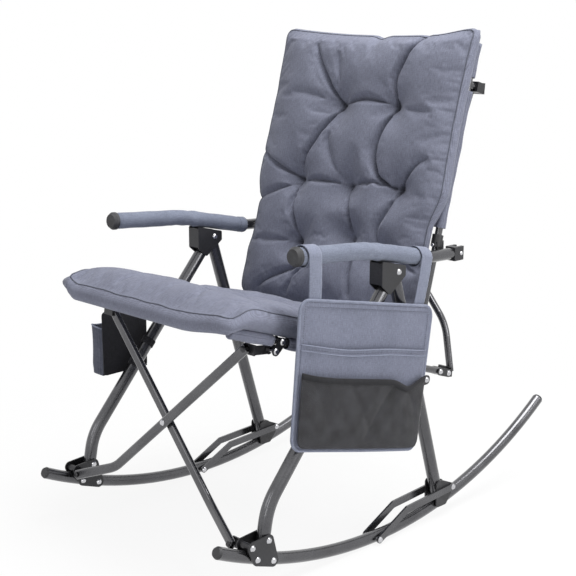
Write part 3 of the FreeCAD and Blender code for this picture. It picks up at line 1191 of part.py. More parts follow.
make_rocker()
make_foot_plates()
make_legs()
make_saddle()
make_links()
make_arm()
make_arm_ends()
make_arm_bracket()
make_collar()
make_upright()
make_stub_bracket("left", 1, TAB_FACE)
make_stub_bracket("right", -1, LAYER_D - THIN - size("rear_swing_gap"))
make_rails()
make_lugs()
make_side_rivets()
make_front_brace("front_brace_a", 1, BRACE_LAYER)
make_front_brace("front_brace_b", -1, -BRACE_LAYER)
cross_rivet("front_cross_rivet", on_cross(0, 0, 0), CROSS_OUT, size("brace_thick") + 2 * GAP)
make_foot_knuckle()
make_top_knuckle("left", 1, BRACE_LAYER)
make_top_knuckle("right", -1, -BRACE_LAYER)
make_rear_brace("rear_brace_c", 1, LAYER_C)
make_rear_brace("rear_brace_d", -1, LAYER_D)
cross_rivet("rear_cross_rivet", on_rear(0, REAR_RISE / 2, (LAYER_C + LAYER_D) / 2), REAR_OUT,
            size("thin_outer") + 2 * GAP)
make_rear_knuckle("right", -1, LAYER_C + THIN + GAP)
make_rear_knuckle("left", 1, LAYER_D - THIN - size("rear_swing_gap"))
make_seat_cushion()
make_back_cushion()
make_slings()
make_organizer()
make_pouch()
doc.recompute()

faults = [item.Name for item in doc.Objects if "Invalid" in item.State or "Error" in item.State]
for item in NODES:
    if item.Shape.isNull() or not item.Shape.isValid() or not item.Shape.Solids:
        faults.append(item.Label)
if faults:
    raise RuntimeError("failed objects: " + ", ".join(faults))
os.makedirs("parts", exist_ok=True)
for item in NODES:
    item.Shape.exportStep("parts/%s.step" % item.Label)
print("wrote %d sub-parts" % len(NODES))
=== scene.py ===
import math

import bpy
import numpy as np
from mathutils import Matrix, Vector, noise


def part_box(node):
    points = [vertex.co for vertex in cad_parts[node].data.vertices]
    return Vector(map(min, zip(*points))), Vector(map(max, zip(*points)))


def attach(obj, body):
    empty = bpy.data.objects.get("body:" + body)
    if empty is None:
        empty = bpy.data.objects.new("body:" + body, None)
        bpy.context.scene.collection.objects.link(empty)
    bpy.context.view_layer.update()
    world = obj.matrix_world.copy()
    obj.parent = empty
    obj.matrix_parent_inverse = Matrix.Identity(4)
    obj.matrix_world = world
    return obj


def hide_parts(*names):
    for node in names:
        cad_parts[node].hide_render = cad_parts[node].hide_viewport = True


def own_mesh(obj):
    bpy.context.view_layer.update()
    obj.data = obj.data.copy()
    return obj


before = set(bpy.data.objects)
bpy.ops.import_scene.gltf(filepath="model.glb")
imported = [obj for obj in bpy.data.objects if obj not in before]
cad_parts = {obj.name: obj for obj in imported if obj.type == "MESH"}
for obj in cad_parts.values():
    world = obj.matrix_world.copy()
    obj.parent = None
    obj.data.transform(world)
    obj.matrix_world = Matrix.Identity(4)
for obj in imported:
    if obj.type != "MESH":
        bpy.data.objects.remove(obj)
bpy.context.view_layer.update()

# Folding rocking camping chair. Sizes below are in millimetres in the frame of the CAD model:
# the chair faces -Y, +X is the sitter's left and z = 0 is the floor.

MM = 0.001
TINY = 1e-9
WHITE = (1, 1, 1, 1)
scene = bpy.context.scene


def rgb(red, green, blue):
    """A colour given as 0 to 255 display values, as the linear values that shaders take."""
    linear = []
    for value in (red, green, blue):
        share = value / 255
        linear.append(share / 12.92 if share <= 0.04045 else ((share + 0.055) / 1.055) ** 2.4)
    return (*linear, 1.0)


# Materials

# A wave texture turns by this many radians over one unit at a scale of 1
WAVE_RADIANS = 20


class Nodes:
    """A new material's or world's node tree, with short calls to add and join nodes."""

    def __init__(self, name, blocks=bpy.data.materials):
        self.block = blocks.new(name)
        self.block.use_nodes = True
        self.tree = self.block.node_tree
        self.shader = self.tree.nodes.get("Principled BSDF")

    def add(self, kind, inputs=None, **settings):
        node = self.tree.nodes.new("ShaderNode" + kind)
        for key, value in settings.items():
            setattr(node, key, value)
        for key, value in (inputs or {}).items():
            if isinstance(value, bpy.types.NodeSocket):
                self.tree.links.new(value, node.inputs[key])
            else:
                node.inputs[key].default_value = value
        return node

    def link(self, source, socket):
        self.tree.links.new(source, self.shader.inputs[socket])

    def set(self, **values):
        for key, value in values.items():
            self.shader.inputs[key.replace("_", " ")].default_value = value

    def ramp(self, source, stops):
        node = self.add("ValToRGB", {"Fac": source})
        elements = node.color_ramp.elements
        while len(elements) < len(stops):
            elements.new(0.5)
        for element, (position, colour) in zip(elements, stops):
            element.position = position
            element.color = colour
        return node.outputs["Color"]

    def mapped(self, coordinates, scale):
        return self.add("Mapping", {"Vector": coordinates, "Scale": scale}).outputs["Vector"]

    def calc(self, operation, *values):
        return self.add("Math", dict(enumerate(values)), operation=operation).outputs[0]

    def noise(self, coordinates, scale, detail, distortion=0.0):
        inputs = {"Vector": coordinates, "Scale": scale, "Detail": detail, "Distortion": distortion}
        return self.add("TexNoise", inputs).outputs["Fac"]

    def threads(self, coordinates, pitch, **shape):
        """Threads both ways across the coordinates, one pitch apart."""
        inputs = {"Vector": coordinates, "Scale": 2 * math.pi / (WAVE_RADIANS * pitch), **shape}
        return [self.add("TexWave", inputs, bands_direction=way).outputs["Fac"] for way in "XY"]

    def map_range(self, value, from_low, from_high, to_low, to_high):
        inputs = {"Value": value, "From Min": from_low, "From Max": from_high,
                  "To Min": to_low, "To Max": to_high}
        return self.add("MapRange", inputs).outputs["Result"]

    def bump(self, height, strength, distance, **under):
        inputs = {"Height": height, "Strength": strength, "Distance": distance, **under}
        return self.add("Bump", inputs).outputs["Normal"]


def cloth_material(name, dark, middle, light, thread=0.0014, fold=0.0):
    """Woven melange cloth: threads both ways, slubs and slow shifts of tone. UVs are in metres.

    A mesh's crease attribute darkens it with painted shade in its creases. fold is the strength of its fine
    wrinkles."""
    n = Nodes(name)
    uv = n.add("TexCoord").outputs["UV"]
    warp, weft = n.threads(uv, thread, Distortion=1.2, Detail=1.0)
    slub = n.noise(n.mapped(uv, (620, 80, 1)), 1.0, 4.0)
    cross_slub = n.noise(n.mapped(uv, (100, 560, 1)), 1.0, 3.0)
    # Painted shade: the crease attribute pulls the colour down towards the darkest stop
    crease = n.add("Attribute", attribute_name="crease").outputs["Fac"]
    shade = n.calc("MULTIPLY_ADD", slub, 0.32, 0.17)
    crossings, tone = n.calc("MULTIPLY", warp, weft), n.noise(uv, 11.0, 4.0)
    for source, share in ((cross_slub, 0.2), (crossings, 0.2), (tone, 0.2), (crease, -0.3)):
        shade = n.calc("MULTIPLY_ADD", source, share, shade)
    dark, middle, light = (rgb(*colour) for colour in (dark, middle, light))
    # The darkest stop is painted shade, which only the creases reach
    crease_shade = (*(0.35 * part for part in dark[:3]), 1.0)
    n.link(n.ramp(shade, [(0.25, crease_shade), (0.4, dark), (0.6, middle), (0.8, light)]), "Base Color")
    normal = n.bump(n.calc("ADD", warp, weft), 0.22, 0.0004)
    if fold:
        wrinkle = n.noise(n.mapped(uv, (26, 9, 1)), 1.0, 3.0, 0.6)
        normal = n.bump(wrinkle, fold, 0.004, Normal=normal)
    n.link(normal, "Normal")
    n.set(Roughness=0.9, Specular_IOR_Level=0.2, Sheen_Weight=0.12, Sheen_Roughness=0.4)
    return n.block


def metal_material(name, dark, light, rough, metallic, coat):
    """Powder-coated or plated metal: fine grain in its tone and surface, gloss worn in patches."""
    n = Nodes(name)
    place = n.add("TexCoord").outputs["Object"]
    grain, patch = n.noise(place, 420.0, 3.0), n.noise(place, 14.0, 5.0)
    mean = n.calc("MULTIPLY", n.calc("ADD", grain, patch), 0.5)
    n.link(n.ramp(mean, [(0.3, rgb(*dark)), (0.68, rgb(*light))]), "Base Color")
    n.link(n.map_range(patch, 0.3, 0.7, rough * 0.8, rough * 1.25), "Roughness")
    n.link(n.bump(grain, 0.02, 0.0003), "Normal")
    n.set(Metallic=metallic, Coat_Weight=coat, Coat_Roughness=0.12)
    return n.block


def plastic_material(name, dark, light, rough):
    """Moulded plastic with a fine spark-eroded grain and uneven gloss."""
    n = Nodes(name)
    place = n.add("TexCoord").outputs["Object"]
    grain = n.add("TexVoronoi", {"Vector": place, "Scale": 900.0}).outputs["Distance"]
    tone = n.noise(place, 60.0, 4.0)
    n.link(n.ramp(tone, [(0.35, rgb(*dark)), (0.7, rgb(*light))]), "Base Color")
    n.link(n.map_range(tone, 0.0, 1.0, rough * 0.8, rough * 1.2), "Roughness")
    n.link(n.bump(grain, 0.15, 0.0003), "Normal")
    return n.block


def net_material(name, dark, light, pitch):
    """Knitted net: slanted threads both ways, partly clear between them."""
    n = Nodes(name)
    uv = n.add("TexCoord").outputs["UV"]
    turned = n.add("Mapping", {"Vector": uv, "Rotation": (0, 0, math.radians(45))}).outputs["Vector"]
    threads = n.calc("MAXIMUM", *n.threads(turned, pitch, Distortion=0.6))
    tone = n.noise(uv, 30.0, 4.0)
    n.link(n.ramp(tone, [(0.3, rgb(*dark)), (0.75, rgb(*light))]), "Base Color")
    n.link(n.map_range(threads, 0.3, 0.6, 0.45, 1.0), "Alpha")
    n.link(n.bump(threads, 0.4, 0.0006), "Normal")
    n.set(Roughness=0.7, Sheen_Weight=0.15, Sheen_Roughness=0.4)
    return n.block


CLOTH = cloth_material("cushion_cloth", (92, 94, 107), (119, 122, 138), (146, 150, 166), fold=0.3)
PANEL_CLOTH = cloth_material("bag_cloth", (92, 95, 109), (118, 122, 139), (145, 149, 166), fold=0.18)
SLEEVE_CLOTH = cloth_material("sleeve_cloth", (91, 96, 110), (118, 124, 140), (143, 149, 164), fold=0.2)
# Painted shade: the bag cloth darkened for the pouch's pocket, which lies in the seat's shadow
SHADED_POUCH_CLOTH = cloth_material("shaded_pouch_cloth", (68, 70, 81), (89, 92, 105), (112, 115, 129))
# Near-black cloth: painted shade on the pouch's back panel, the blue cloth darkened for the shadow under the
# seat; the pouch's loops use it too
DARK_AND_SHADED_CLOTH = cloth_material("dark_and_shaded_cloth", (28, 28, 31), (41, 41, 45), (56, 56, 61))
BINDING = cloth_material("binding_tape", (100, 104, 120), (128, 133, 150), (155, 160, 177), thread=0.0009)
THREAD = cloth_material("sewing_thread", (70, 72, 82), (92, 95, 107), (116, 119, 132), thread=0.0006)
NET = net_material("net", (24, 24, 27), (52, 52, 57), pitch=0.0032)
HEM_TAPE = cloth_material("hem_tape", (26, 26, 28), (40, 40, 43), (56, 56, 60), thread=0.001)
TUBE = metal_material("tube_paint", (66, 66, 69), (94, 94, 97), rough=0.25, metallic=0.85, coat=0.6)
BRACKET = metal_material("bracket_paint", (38, 38, 40), (58, 58, 61), rough=0.42, metallic=0.5, coat=0.2)
RIVET = metal_material("rivet_plating", (176, 176, 180), (214, 214, 217), rough=0.22, metallic=1.0, coat=0.0)
PLASTIC = plastic_material("moulded_plastic", (34, 34, 36), (52, 52, 55), rough=0.5)
CAP_PLASTIC = plastic_material("cap_plastic", (34, 34, 36), (60, 60, 63), rough=0.6)

# Finish of each CAD node, by its name without left or right
NODE_FINISHES = [
    (TUBE, ["rocker", "front_leg", "rear_leg", "arm_tube", "seat_rail", "back_upright", "link_bars",
            "front_brace_a", "front_brace_b", "rear_brace_c", "rear_brace_d"]),
    (BRACKET, ["foot_plates", "arm_bracket", "rail_lugs", "rail_brackets", "arm_clevis", "stub_bracket",
               "foot_knuckle", "top_knuckle", "rear_knuckle"]),
    (RIVET, ["side_rivets", "rail_rivets", "front_cross_rivet", "rear_cross_rivet"]),
    (PLASTIC, ["saddle", "upright_collar", "rocker_plugs"]),
    (CAP_PLASTIC, ["arm_plug"]),
]
FINISH_OF = {stem: finish for finish, stems in NODE_FINISHES for stem in stems}

for node_name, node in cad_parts.items():
    stem = node_name.removeprefix("left_").removeprefix("right_")
    if stem in FINISH_OF:
        node.data.materials.clear()
        node.data.materials.append(FINISH_OF[stem])


# Mesh building

def make_object(name, points, faces, material, uv=None):
    """A smooth mesh from points and UVs in millimetres."""
    mesh = bpy.data.meshes.new(name)
    mesh.from_pydata((np.asarray(points) * MM).tolist(), [], faces)
    if uv is not None:
        layer = mesh.uv_layers.new(name="UVMap")
        corners = np.empty(len(mesh.loops), dtype=np.int32)
        mesh.loops.foreach_get("vertex_index", corners)
        layer.data.foreach_set("uv", (np.asarray(uv)[corners] * MM).ravel())
    mesh.materials.append(material)
    mesh.shade_smooth()
    obj = bpy.data.objects.new(name, mesh)
    scene.collection.objects.link(obj)
    return obj


def fit(obj, body, slot, *nodes):
    """The piece rides on a CAD body and stands for CAD nodes; its slot is not used."""
    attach(obj, body)
    if nodes:
        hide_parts(*nodes)
    return obj


def pad_grid(across, along, deep):
    """Grid on a box: shares a (-1 to 1), b and c (0 to 1), its quads and the rim of its front."""
    index = {}
    shares = []
    faces = []

    def vertex(i, j, k):
        key = (i, j, k)
        if key not in index:
            index[key] = len(shares)
            shares.append((2 * i / across - 1, j / along, k / deep))
        return index[key]

    def add_quad(corners, turn):
        faces.append([vertex(*corner) for corner in corners][::turn])

    for i in range(across):
        for j in range(along):
            for k, turn in ((0, -1), (deep, 1)):
                add_quad([(i, j, k), (i + 1, j, k), (i + 1, j + 1, k), (i, j + 1, k)], turn)
    for k in range(deep):
        for i in range(across):
            for j, turn in ((0, 1), (along, -1)):
                add_quad([(i, j, k), (i + 1, j, k), (i + 1, j, k + 1), (i, j, k + 1)], turn)
        for j in range(along):
            for i, turn in ((0, -1), (across, 1)):
                add_quad([(i, j, k), (i, j + 1, k), (i, j + 1, k + 1), (i, j, k + 1)], turn)
    around = [(i, 0) for i in range(across)] + [(across, j) for j in range(along)]
    around += [(i, along) for i in range(across, 0, -1)] + [(0, j) for j in range(along, 0, -1)]
    return np.array(shares).T, faces, [index[i, j, deep] for i, j in around]


def smooth_step(value, low, high):
    share = np.clip((value - low) / (high - low), 0, 1)
    return share * share * (3 - 2 * share)


def round_corners(x, t, half, low, high, radius):
    """Moves points of a rectangle so that its corners are round."""
    over_x = np.maximum(np.abs(x) - (half - radius), 0)
    over_t = np.maximum(t - (high - radius), 0) + np.minimum(t - (low + radius), 0)
    length = np.hypot(over_x, over_t)
    pull = np.where(length > 0, np.maximum(over_x, np.abs(over_t)) / np.maximum(length, TINY), 1)
    return x - np.sign(x) * over_x * (1 - pull), t - over_t * (1 - pull)


def smooth_line(points, steps=10):
    """A curve through the given points (Catmull-Rom)."""
    line = np.array(points, dtype=float)
    line = np.vstack([2 * line[0] - line[1], line, 2 * line[-1] - line[-2]])
    out = []
    for k in range(1, len(line) - 2):
        p0, p1, p2, p3 = line[k - 1:k + 3]
        for u in np.arange(steps) / steps:
            out.append(0.5 * (2 * p1 + (p2 - p0) * u + (2 * p0 - 5 * p1 + 4 * p2 - p3) * u ** 2
                              + (3 * p1 - p0 - 3 * p2 + p3) * u ** 3))
    return np.array(out + [line[-2]])


# Folds: width of the sharp crease at the bottom, where along it the depth starts to fade, and the rolls
# beside it, as shares of its depth and of its width
CREASE = 3.8
FADE_FROM = 0.86
ROLL_HIGH, ROLL_AWAY = 0.26, 2.6
# Width of a tuft's sharp dimple
DIMPLE = 9


def fold_depth(x, t, points, start, end, width, sharp=0.45):
    """Depth of a fold in cloth along a curve: a sharp valley with a soft roll on each side."""
    line = smooth_line(points)
    nearest = np.full(x.shape, np.inf)
    share = np.zeros(x.shape)
    for k in range(len(line) - 1):
        (ax, at), (bx, bt) = line[k], line[k + 1]
        run_x, run_t = bx - ax, bt - at
        u = np.clip(((x - ax) * run_x + (t - at) * run_t) / (run_x ** 2 + run_t ** 2), 0, 1)
        away = np.hypot(x - ax - u * run_x, t - at - u * run_t)
        closer = away < nearest
        nearest = np.where(closer, away, nearest)
        share = np.where(closer, (k + u) / (len(line) - 1), share)
    depth = start + (end - start) * share
    fade = smooth_step(share, 1.0, FADE_FROM)
    valley = (1 - sharp) * np.exp(-nearest / width) + sharp * np.exp(-nearest / CREASE)
    return depth * fade * (valley - ROLL_HIGH * np.exp(-((nearest - ROLL_AWAY * width) / width) ** 2))


def tuft_depth(x, t, spots, deep, wide, sharp):
    """Bowls round the tufts, each with a sharp dimple in its middle."""
    depth = np.zeros(x.shape)
    for spot_x, spot_t in spots:
        away = np.hypot(x - spot_x, t - spot_t)
        depth = np.maximum(depth, deep * np.exp(-(away / wide) ** 2) + sharp * np.exp(-away / DIMPLE))
    return depth


def wander(x, t, pitch, seed):
    """Smooth noise between -1 and 1 that changes over about one pitch."""
    return np.array([noise.noise((px / pitch, pt / pitch, seed)) for px, pt in zip(x, t)])


def tube_mesh(line, radius, sides=8, closed=False, flat=1.0, level=(0, 0, 1)):
    """Points, quads and UVs of a tube round a line. flat narrows it along the level direction."""
    line = np.asarray(line, dtype=float)
    count = len(line)
    ahead = np.roll(line, -1, 0) - np.roll(line, 1, 0) if closed else np.gradient(line, axis=0)
    ahead /= np.linalg.norm(ahead, axis=1)[:, None]
    side = np.cross(ahead, np.array(level, dtype=float))
    side /= np.maximum(np.linalg.norm(side, axis=1)[:, None], TINY)
    rise = np.cross(side, ahead)
    angles = 2 * np.pi * np.arange(sides) / sides
    radius = np.broadcast_to(np.asarray(radius, dtype=float), (count,))
    points = (line[:, None] + radius[:, None, None] * (np.cos(angles)[None, :, None] * side[:, None]
              + flat * np.sin(angles)[None, :, None] * rise[:, None])).reshape(-1, 3)
    run = np.concatenate([[0], np.cumsum(np.linalg.norm(np.diff(line, axis=0), axis=1))])
    uv = np.stack([np.tile(angles * radius.mean(), count), np.repeat(run, sides)], 1)
    faces = []
    for k in range(count if closed else count - 1):
        for s in range(sides):
            following = (k + 1) % count
            faces.append([k * sides + s, following * sides + s, following * sides + (s + 1) % sides,
                          k * sides + (s + 1) % sides])
    if not closed:
        faces.append(list(range(sides)))
        faces.append([(count - 1) * sides + s for s in range(sides - 1, -1, -1)])
    return points, faces, uv


def tube(name, line, radius, material, **shape):
    points, faces, uv = tube_mesh(line, radius, **shape)
    return make_object(name, points, faces, material, uv)


def joined(name, material, *meshes):
    """One object from several (points, faces, uv) meshes."""
    points, faces, uv = [], [], []
    for some_points, some_faces, some_uv in meshes:
        start = sum(len(p) for p in points)
        points.append(some_points)
        faces += [[v + start for v in face] for face in some_faces]
        uv.append(some_uv)
    return make_object(name, np.vstack(points), faces, material, np.vstack(uv))


def grid_mesh(points, along, across):
    """Points, quads and UVs of a sheet given as rows of points."""
    rows, columns = points.shape[:2]
    faces = []
    for r in range(rows - 1):
        for k in range(columns - 1):
            first = r * columns + k
            faces.append([first, first + 1, first + columns + 1, first + columns])
    uv = np.stack([np.tile(across, rows), np.repeat(along, columns)], 1)
    return points.reshape(-1, 3), faces, uv


def thicken(obj, thickness):
    """Gives a sheet its cloth thickness in its own mesh."""
    solid = obj.modifiers.new("cloth_thickness", "SOLIDIFY")
    solid.thickness = thickness * MM
    solid.offset = 0
    graph = bpy.context.evaluated_depsgraph_get()
    mesh = bpy.data.meshes.new_from_object(obj.evaluated_get(graph), depsgraph=graph)
    obj.modifiers.clear()
    obj.data = mesh
    return obj


# Stitches: half a stitch's length, its thread's radius and the way from one stitch to the next
STITCH_SIZES = {"Half Length": 1.7, "Thread Radius": 0.55, "Pitch": 4.59}


def stitch_tree():
    """Geometry nodes that lay short threads along a curve, and the identifiers of their inputs by name."""
    tree = bpy.data.node_groups.new("stitches", "GeometryNodeTree")
    tree.interface.new_socket("Geometry", in_out="INPUT", socket_type="NodeSocketGeometry")
    tree.interface.new_socket("Geometry", in_out="OUTPUT", socket_type="NodeSocketGeometry")
    sockets = {name: tree.interface.new_socket(name, in_out="INPUT", socket_type="NodeSocketFloat").identifier
               for name in STITCH_SIZES}
    nodes, link = tree.nodes, tree.links.new
    into, out = nodes.new("NodeGroupInput"), nodes.new("NodeGroupOutput")
    points = nodes.new("GeometryNodeCurveToPoints")
    points.mode = "LENGTH"
    thread = nodes.new("GeometryNodeMeshUVSphere")
    thread.inputs["Segments"].default_value = 6
    thread.inputs["Rings"].default_value = 4
    slim = nodes.new("ShaderNodeMath")
    slim.operation = "DIVIDE"
    scale = nodes.new("ShaderNodeCombineXYZ")
    scale.inputs["X"].default_value = scale.inputs["Y"].default_value = 1
    stretch = nodes.new("GeometryNodeTransform")
    lay = nodes.new("GeometryNodeInstanceOnPoints")
    real = nodes.new("GeometryNodeRealizeInstances")
    paint = nodes.new("GeometryNodeSetMaterial")
    paint.inputs["Material"].default_value = THREAD
    link(into.outputs["Geometry"], points.inputs["Curve"])
    link(into.outputs["Pitch"], points.inputs["Length"])
    link(into.outputs["Thread Radius"], thread.inputs["Radius"])
    link(into.outputs["Half Length"], slim.inputs[0])
    link(into.outputs["Thread Radius"], slim.inputs[1])
    link(slim.outputs[0], scale.inputs["Z"])
    link(scale.outputs[0], stretch.inputs["Scale"])
    link(thread.outputs["Mesh"], stretch.inputs["Geometry"])
    link(points.outputs["Points"], lay.inputs["Points"])
    link(points.outputs["Rotation"], lay.inputs["Rotation"])
    link(stretch.outputs["Geometry"], lay.inputs["Instance"])
    link(lay.outputs["Instances"], real.inputs["Geometry"])
    link(real.outputs["Geometry"], paint.inputs["Geometry"])
    link(paint.outputs["Geometry"], out.inputs[0])
    return tree, sockets


STITCHES, STITCH_SOCKETS = stitch_tree()


def stitch_rows(name, lines):
    """Rows of stitches along the given lines, as one plain mesh."""
    curve = bpy.data.curves.new(name + "_rows", "CURVE")
    curve.dimensions = "3D"
    for line in lines:
        spline = curve.splines.new("POLY")
        spline.points.add(len(line) - 1)
        for point, spot in zip(spline.points, np.asarray(line) * MM):
            point.co = (*spot, 1)
    rows = bpy.data.objects.new(name + "_rows", curve)
    scene.collection.objects.link(rows)
    modifier = rows.modifiers.new("stitches", "NODES")
    modifier.node_group = STITCHES
    for size, length in STITCH_SIZES.items():
        modifier[STITCH_SOCKETS[size]] = length * MM
    graph = bpy.context.evaluated_depsgraph_get()
    mesh = bpy.data.meshes.new_from_object(rows.evaluated_get(graph), depsgraph=graph)
    mesh.name = name
    mesh.shade_smooth()
    bpy.data.objects.remove(rows)
    bpy.data.curves.remove(curve)
    obj = bpy.data.objects.new(name, mesh)
    scene.collection.objects.link(obj)
    return obj


# Cushions: pads whose fronts a cloth simulation swells between what holds them

SIM_FRAMES = 20
SIM_SETTINGS = {
    "quality": 5, "mass": 0.2, "tension_stiffness": 15, "compression_stiffness": 15, "shear_stiffness": 5,
    "bending_stiffness": 0.4, "use_pressure": True, "uniform_pressure_force": 4.0, "shrink_min": -0.015,
}
HOLD_LEVELS = 20
# Reach of the hold in from a pad's seam, round a tuft (none, all) and its strength along a fold
SEAM_HOLD, TUFT_HOLD, FOLD_HOLD = 0.03, (24, 5), 0.6
PAD_LAYERS = 6
SEAM_RADIUS = 1.4
# Tubes that the back and the seat hang on, and what the fold leaves of the width between them
UPRIGHT_X, BACK_KEEP = 262.0, 0.478
RAIL_X, SEAT_KEEP = 248.6, 0.45
# Depth at which a crease's painted shade starts, and how much deeper it is darkest
CREASE_SHADE_FROM, CREASE_SHADE_RUN = 9, 16


def pad_hold(shares, x, t, tufts, folds, fold_end):
    """How firmly a pad is held: fully at its sides, rear, seam and tufts, partly along its folds."""
    a, b, c = shares
    inside = np.minimum(1 - np.abs(a), np.minimum(b, 1 - b))
    held = np.maximum(np.where(c < 1, 1.0, 0.0), smooth_step(inside, SEAM_HOLD, 0.0))
    for spot_x, spot_t in tufts:
        held = np.maximum(held, smooth_step(np.hypot(x - spot_x, t - spot_t), *TUFT_HOLD))
    for points, start, end, width in folds:
        held = np.maximum(held, FOLD_HOLD * np.clip(fold_depth(x, t, points, 1, fold_end, width), 0, 1))
    return held


def swell(obj, hold, cap):
    """Cloth simulation: air swells a pad. Gives how far each point moved, cap at most."""
    count = len(obj.data.vertices)
    before = np.empty(count * 3)
    obj.data.vertices.foreach_get("co", before)
    group = obj.vertex_groups.new(name="hold")
    levels = np.round(np.clip(hold, 0, 1) * HOLD_LEVELS) / HOLD_LEVELS
    for level in np.unique(levels[levels > 0]):
        group.add(np.flatnonzero(levels == level).tolist(), float(level), "REPLACE")
    cloth = obj.modifiers.new("cloth", "CLOTH")
    for setting, value in SIM_SETTINGS.items():
        setattr(cloth.settings, setting, value)
    cloth.settings.effector_weights.gravity = 0
    cloth.settings.vertex_group_mass = "hold"
    cloth.collision_settings.use_collision = False
    cloth.point_cache.frame_start = 1
    cloth.point_cache.frame_end = SIM_FRAMES
    for step in range(1, SIM_FRAMES + 1):
        scene.frame_set(step)
    graph = bpy.context.evaluated_depsgraph_get()
    swollen = obj.evaluated_get(graph).to_mesh()
    after = np.empty(count * 3)
    swollen.vertices.foreach_get("co", after)
    obj.evaluated_get(graph).to_mesh_clear()
    scene.frame_set(1)
    move = (after - before).reshape(-1, 3)
    length = np.linalg.norm(move, axis=1)[:, None]
    return move * np.minimum(1, cap * MM / np.maximum(length, TINY)) / MM


def swollen_front(name, grid, place, point, held_at, cap):
    """Simulates a coarse copy of a pad. Gives its front's movement as a grid over its width and length."""
    across, along = grid
    shares, faces, rim = pad_grid(across, along, PAD_LAYERS)
    spots = place(*shares)
    pad = make_object(name, point(*spots), faces, CLOTH)
    move = swell(pad, pad_hold(shares, spots[0], spots[1], *held_at), cap)
    mesh = pad.data
    bpy.data.objects.remove(pad)
    bpy.data.meshes.remove(mesh)
    front = np.zeros((across + 1, along + 1, 3))
    for (a, b, c), step in zip(shares.T, move):
        if c == 1:
            front[round((a + 1) / 2 * across), round(b * along)] = step
    return front


def spread(front, a, b):
    """Movement at the given shares of width and length, between the grid's points."""
    across, along = front.shape[0] - 1, front.shape[1] - 1
    column, row = (a + 1) / 2 * across, b * along
    i, j = np.minimum(column.astype(int), across - 1), np.minimum(row.astype(int), along - 1)
    u, v = (column - i)[:, None], (row - j)[:, None]
    low = front[i, j] * (1 - u) + front[i + 1, j] * u
    high = front[i, j + 1] * (1 - u) + front[i + 1, j + 1] * u
    return low * (1 - v) + high * v


def swollen_pad(name, grid, coarse_grid, place, point, held_at, cap):
    """Shares, places, points, faces and rim of a pad. held_at: its tufts, its folds and how these end."""
    shares, faces, rim = pad_grid(*grid, PAD_LAYERS)
    spots = place(*shares)
    points = point(*spots)
    front = swollen_front(name, coarse_grid, place, point, held_at, cap)
    points = points + spread(front, shares[0], shares[1]) * shares[2][:, None]
    return shares, spots, points, faces, rim


def vertex_points(obj, picked):
    return np.array([obj.data.vertices[v].co[:] for v in picked]) / MM


def fit_cushion(pad, rim, level, body, node):
    """Sews the seam round a cushion's front; both ride on the given body and stand in for the CAD node."""
    line = vertex_points(pad, rim)
    seam = tube(node + "_seam", line, SEAM_RADIUS, THREAD, sides=6, closed=True, level=level)
    for piece in (pad, seam):
        fit(piece, body, "cushion_cloth")
    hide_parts(node)
    for piece in (pad, seam):
        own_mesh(piece)


def paint_crease_shade(pad, depth, front):
    """Stores how deep each vertex lies in a crease, as painted shade in the cloth's colour."""
    crease = pad.data.attributes.new("crease", "FLOAT", "POINT")
    crease.data.foreach_set("value", np.clip((depth - CREASE_SHADE_FROM) / CREASE_SHADE_RUN, 0, 1) * (front == 1))


def outward_ends(b):
    """1 at a pad's far end, -1 at its near end and 0 between."""
    return np.where(b == 1, 1, 0) - np.where(b == 0, 1, 0)


def outward_sides(a):
    """1 at a pad's left side, -1 at its right side and 0 between."""
    return np.where(np.abs(a) == 1, np.sign(a), 0)


# Back cushion: t runs up the uprights from the arms, f forward from their centre lines

BACK_LEAN = math.radians(15.7)
BACK_BASE = (198.0, 622.0)
BACK_LOW, BACK_HIGH = -200.0, 446.0
BACK_HALF, BACK_WAIST, BACK_LOWER = 286.0, 264.0, 276.0
BACK_REAR = 10.5
BACK_TUFTS = [(-50, 270), (110, 276), (-135, 90), (21, 89), (167, 95), (-103, -56), (56, -26), (150, -52)]
